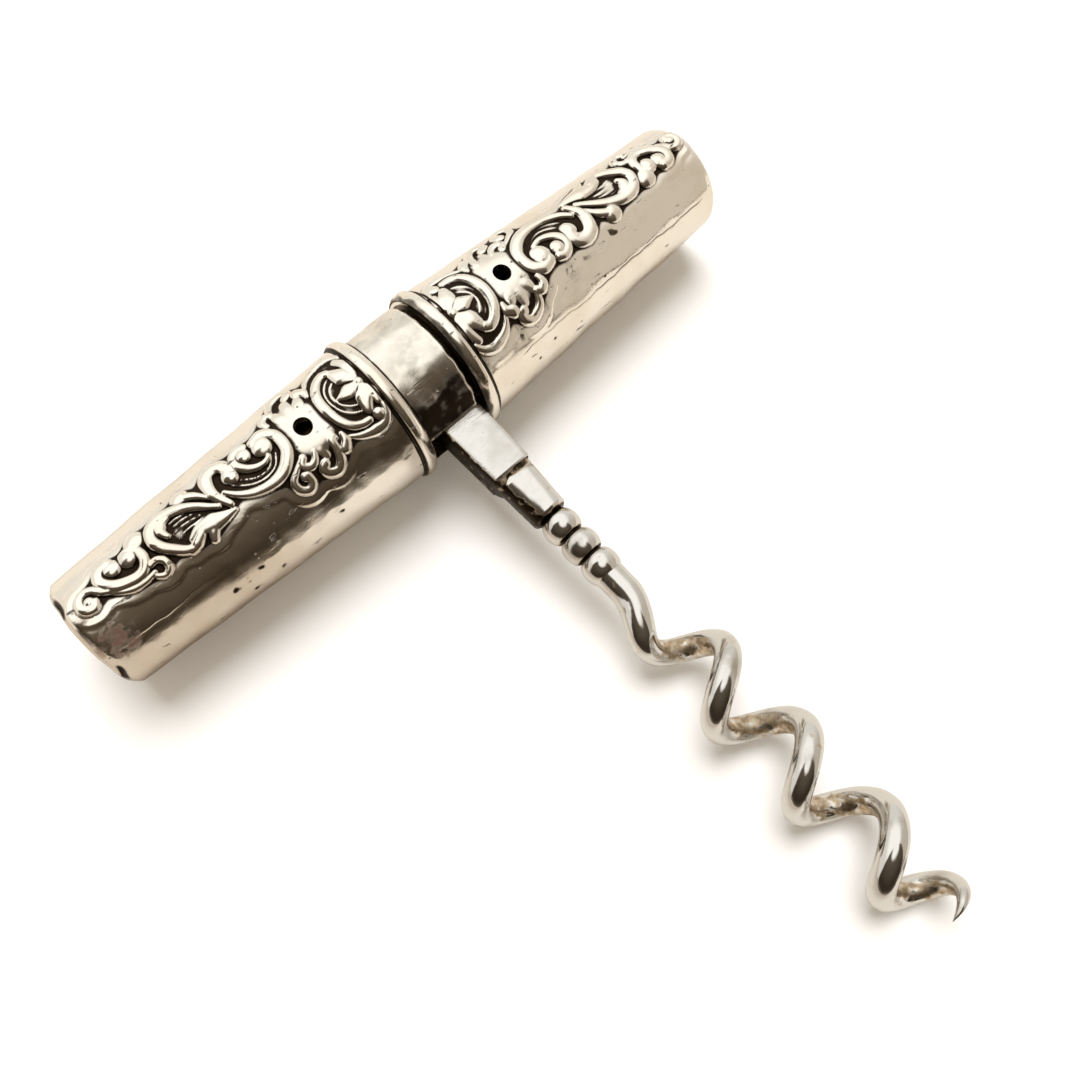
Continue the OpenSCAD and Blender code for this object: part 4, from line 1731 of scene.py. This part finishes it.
    @staticmethod
    def _frames(middle: Array) -> tuple[Array, Array]:
        """Carries a square frame along the middle line without twist.

        Args:
            middle: places of the middle line.

        Returns:
            The sideways and the upward direction at each ring.
        """
        ahead = np.gradient(middle, axis=0)
        ahead /= np.linalg.norm(ahead, axis=1, keepdims=True)
        sideways = np.empty_like(middle)
        carried = np.array([1.0, 0.0, 0.0])
        for index, direction in enumerate(ahead):
            carried = carried - direction * carried.dot(direction)
            carried /= np.linalg.norm(carried)
            sideways[index] = carried
        return sideways, np.cross(ahead, sideways) * -1

    def _groove_and_step_shade(self, s: Array) -> Array:
        """Paints shade into the grooves between the beads and into the step at the shoulder.

        Args:
            s: distances of the rings from the pivot.

        Returns:
            How dark each ring is.
        """
        place = np.mod(s - self.beads_from, self.bead_pitch) / self.bead_pitch * 2 - 1
        beads_end = self.beads_from + self.bead_count * self.bead_pitch
        in_beads = (s > self.beads_from - 0.4) & (s < beads_end - 0.5)
        # Painted shade in the grooves and at the shoulder's step.
        grooves = ease((np.abs(place) - 0.74) / 0.2) * in_beads
        step = np.exp(-((s - self.shoulder - 0.12) / 0.2) ** 2)
        return np.clip(grooves * 0.9 + step * 0.75, 0, 1)

    def _shade_and_scale(self, s: Array, middle: Array, facing: Array, places: Array) -> Array:
        """Paints shade on the shank's -X flank and in a notch at the shoulder, and mottles the helix's inner
        side with scale.

        Args:
            s: distance of each vertex from the pivot.
            middle: the middle line at each vertex.
            facing: the way that each vertex faces.
            places: the vertices.

        Returns:
            How dark each vertex is: painted shade, and scale on the helix.
        """
        patchy = ripples(places, 1.6, 83) * 0.5 + ripples(places, 0.7, 89) * 0.35
        turned = s > self.shoulder
        rough_edge = np.where(turned, 0.16, 0.05) * patchy
        # Painted shade: the flank facing -X, which mirrors the shadowed table, is darkened.
        flank = ease((-facing[:, 0] - 0.4 + rough_edge) / 0.3)
        flank = flank * (1 - 0.75 * ease((s - self.beads_from + 0.4) / 0.8))
        flank = flank * (1 - ease((s - self.bend_from + 1) / 3))
        # Painted shade where a notch crosses the top at the shoulder.
        lens = np.clip(1 - ((places[:, 0] - 0.6) / 2.0) ** 2, 0, 1) * (facing[:, 2] > 0.5)
        notch = np.exp(-(((s - self.shoulder - 0.3) / (0.1 + 0.3 * lens)) ** 2)) * lens
        round_axis = middle * (1, 0, 1) / self.helix_radius
        inner = -(facing * round_axis).sum(axis=1)
        bronze = ease((inner - 0.35 + 0.3 * patchy) / 0.5) * ease((s - self.bend_from - 3) / 4)
        return np.maximum.reduce([flank * 0.95, bronze * 0.46, notch * 0.8])


@dataclass
class Workings:
    """The turned pieces inside the handle, which stay as their solids are.

    Attributes:
        brass_nodes: the solids of brass.
        steel_nodes: the solid of steel.
    """

    brass_nodes: tuple[str, ...] = ("guide_tube", "neck_sleeve", "slide_plug", "right_liner")
    steel_nodes: tuple[str, ...] = ("pivot_pin",)

    def dress(self, nodes: dict[str, bpy.types.Object], finishes: Finishes) -> None:
        """Gives the solids their finishes.

        Args:
            nodes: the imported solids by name.
            finishes: the shared materials.
        """
        for names, material in ((self.brass_nodes, finishes.brass), (self.steel_nodes, finishes.steel)):
            for name in names:
                data = nodes[name].data
                data.materials.clear()
                data.materials.append(material)
                LOG.info("%s: %s", name, material.name)


@dataclass(frozen=True)
class Studio:
    """The table, the light and the camera.

    Attributes:
        lean: turn about X between the handle's own frame and the table, in degrees.
        rest: radius of the rims, on which the handle lies.
        azimuth: direction of the camera round the table's normal, in degrees.
        elevation: its height over the table, in degrees.
        distance: its distance from the place that it aims at.
        aim: that place, in the table's frame.
        roll: turn of the picture, in degrees.
        lens: focal length in mm, for the sensor's width.
        sensor: that width, in mm.
        near_clip: distance in metres within which the camera sees nothing.
        board: half of the table's width, in metres.
        opening: direction of the tent's open side.
        opening_angles: angles from it of the opening's outer and inner edge, in degrees.
        opening_sill: heights between which the opening starts, as a sine.
        opening_top: heights between which it ends.
        tent_near: light of the tent's walls on the worm's side.
        tent_far: light of its walls beyond the handle.
        tent_depths: Y between which the walls change from the one to the other.
        lamp_way: direction of the lamp above the tent.
        lamp_angles: angles from it of the lamp's outer and inner edge, in degrees.
        lamp: its light.
        room_low: light of the room beyond the opening, near the table's height.
        room_high: light of the room higher up.
        room_heights: heights between which the room's light changes.
        fill: light that reaches the matt table from all round.
        key_way: direction of the soft key lamp that throws the shadows.
        key_spread: how wide that lamp looks, in degrees.
        key_strength: its strength.
        key_colour: its colour.
    """

    lean: float = 3.3
    rest: float = 8.8
    azimuth: float = -43.722
    elevation: float = 68.91
    distance: float = 98.639
    aim: Triple = (-3.079, -22.919, 0.0)
    roll: float = 0.426
    lens: float = 31.83
    sensor: float = 36.0
    near_clip: float = 0.005
    board: float = 1.5
    opening: Triple = (-0.513, -0.535, 0.669)
    opening_angles: Range = (60.5, 57.0)
    opening_sill: Range = (-0.02, 0.04)
    opening_top: Range = (0.90, 0.965)
    tent_near: Colour = (0.62, 0.555, 0.465)
    tent_far: Colour = (0.88, 0.845, 0.775)
    tent_depths: Range = (-0.4, 0.5)
    lamp_way: Triple = (0.05, 0.42, 0.906)
    lamp_angles: Range = (52.0, 28.0)
    lamp: Colour = (1.25, 1.22, 1.155)
    room_low: Colour = (0.045, 0.032, 0.021)
    room_high: Colour = (0.115, 0.09, 0.065)
    room_heights: Range = (0.2, 0.95)
    fill: Colour = (0.55, 0.487, 0.405)
    key_way: Triple = (0.2, 0.36, 0.91)
    key_spread: float = 40.0
    key_strength: float = 2.8
    key_colour: Colour = (0.96, 0.98, 1.0)

    def build(self, finishes: Finishes) -> None:
        """Sets up everything round the object.

        Args:
            finishes: the shared materials.
        """
        self._table(finishes.table)
        self._sky()
        self._key()
        self._camera()

    def _to_part(self) -> Matrix:
        """Gives the turn from the table's frame to the part's."""
        return Matrix.Rotation(-math.radians(self.lean), 3, "X")

    def _table(self, material: bpy.types.Material) -> None:
        """Lays the board under the rims and the worm.

        Args:
            material: the board's finish.
        """
        board = bmesh.new()
        bmesh.ops.create_grid(board, x_segments=8, y_segments=8, size=self.board)
        turn = self._to_part()
        bmesh.ops.rotate(board, verts=board.verts, cent=(0, 0, 0), matrix=turn)
        bmesh.ops.translate(board, verts=board.verts, vec=turn @ Vector((0, 0, -self.rest * MM)))
        data = bpy.data.meshes.new("table")
        board.to_mesh(data)
        board.free()
        data.materials.append(material)
        table = bpy.data.objects.new("table", data)
        bpy.context.scene.collection.objects.link(table)

    def _sky(self) -> None:
        """Lights the scene from a white tent that is open towards the camera, where the room is dark."""
        world = bpy.data.worlds.new("studio")
        bpy.context.scene.world = world
        recipe = Recipe(world)
        way = recipe.add("ShaderNodeTexCoord").outputs["Generated"]
        axes = recipe.add("ShaderNodeSeparateXYZ", Vector=way)
        height, depth = axes.outputs["Z"], axes.outputs["Y"]
        opening_cosines = np.cos(np.radians(self.opening_angles)).tolist()
        lamp_cosines = np.cos(np.radians(self.lamp_angles)).tolist()
        wider = recipe.math("ADD", recipe.facing(way, self.opening), recipe.span(height, 0.05, 0.5, 0.1, 0.0))
        mouth = recipe.span(wider, *opening_cosines)
        sill = recipe.span(height, *self.opening_sill)
        top = recipe.span(height, *self.opening_top, 1.0, 0.0)
        open_part = recipe.math("MULTIPLY", mouth, recipe.math("MULTIPLY", sill, top))
        room = recipe.blend(recipe.span(height, *self.room_heights), self.room_low, self.room_high)
        walls = recipe.blend(recipe.span(depth, *self.tent_depths), self.tent_near, self.tent_far)
        lamp = recipe.span(recipe.facing(way, self.lamp_way), *lamp_cosines)
        tent = recipe.blend(lamp, walls, self.lamp)
        colour = recipe.blend(open_part, tent, room)
        path = recipe.add("ShaderNodeLightPath")
        filled = recipe.blend(path.outputs["Is Diffuse Ray"], colour, self.fill)
        shown = recipe.blend(path.outputs["Is Camera Ray"], filled, (1.0, 1.0, 1.0))
        light = recipe.add("ShaderNodeBackground", Color=shown)
        recipe.add("ShaderNodeOutputWorld", Surface=light.outputs["Background"])

    def _key(self) -> None:
        """Hangs the key lamp, which only the matt table takes up."""
        data = bpy.data.lights.new("key", "SUN")
        data.energy = self.key_strength
        data.angle = math.radians(self.key_spread)
        data.color = self.key_colour
        key = bpy.data.objects.new("key", data)
        key.rotation_euler = Vector(self.key_way).to_track_quat("Z", "Y").to_euler()
        key.visible_glossy = False
        bpy.context.scene.collection.objects.link(key)

    def _camera(self) -> None:
        """Puts the camera at the photograph's viewing angle."""
        azimuth, elevation = math.radians(self.azimuth), math.radians(self.elevation)
        roll = math.radians(self.roll)
        level = math.cos(elevation)
        back = Vector((math.sin(azimuth) * level, -math.cos(azimuth) * level, math.sin(elevation)))
        right = Vector((math.cos(azimuth), math.sin(azimuth), 0.0))
        up = back.cross(right)
        turned_right = right * math.cos(roll) + up * math.sin(roll)
        turned_up = up * math.cos(roll) - right * math.sin(roll)
        turn = self._to_part()
        axes = Matrix((turned_right, turned_up, back)).transposed()
        data = bpy.data.cameras.new("camera")
        data.lens = self.lens
        data.sensor_width = self.sensor
        data.clip_start = self.near_clip
        camera = bpy.data.objects.new("camera", data)
        place = turn @ ((Vector(self.aim) + back * self.distance) * MM)
        camera.matrix_world = Matrix.Translation(place) @ (turn @ axes).to_4x4()
        bpy.context.scene.collection.objects.link(camera)
        bpy.context.scene.camera = camera


LEFT_WEAR = CaseWear()
RIGHT_WEAR = CaseWear(
    drift=((0.0, 0.0, -0.2), (10.0, 0.0, 0.0), (16.0, 0.6, 0.2), (28.0, 1.8, 1.0), (36.0, 1.0, 0.7)),
    fullness=1.95,
    vein_height=0.45,
    seed=23,
    lip=0.8,
    lip_slope=0.3,
    lip_turn=2.1,
    scallop=0.0,
    notches=(2.4,),
    mouth_shade=0.55,
    crease_at=1.03,
    crease_from=4.0,
    crease_half=0.09,
    crease_dirt=0.6,
    is_flattened=False,
    pits=((19.5, -0.94, 0.12), (10.8, -1.22, 0.14), (8.2, -1.32, 0.12)),
)


def main() -> None:
    """Builds the finishes, the pieces and the studio."""
    logging.basicConfig(level=logging.INFO, format="%(name)s %(message)s")
    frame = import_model()
    bpy.context.scene.view_settings.view_transform = "Standard"
    finishes = Finishes.made()
    Case(Side.LEFT, LEFT_WEAR).build(finishes)
    Case(Side.RIGHT, RIGHT_WEAR).build(finishes)
    Collar().build(finishes)
    Worm().build(finishes)
    Workings().dress(frame["nodes"], finishes)
    Studio().build(finishes)


if __name__ == "__main__":
    main()
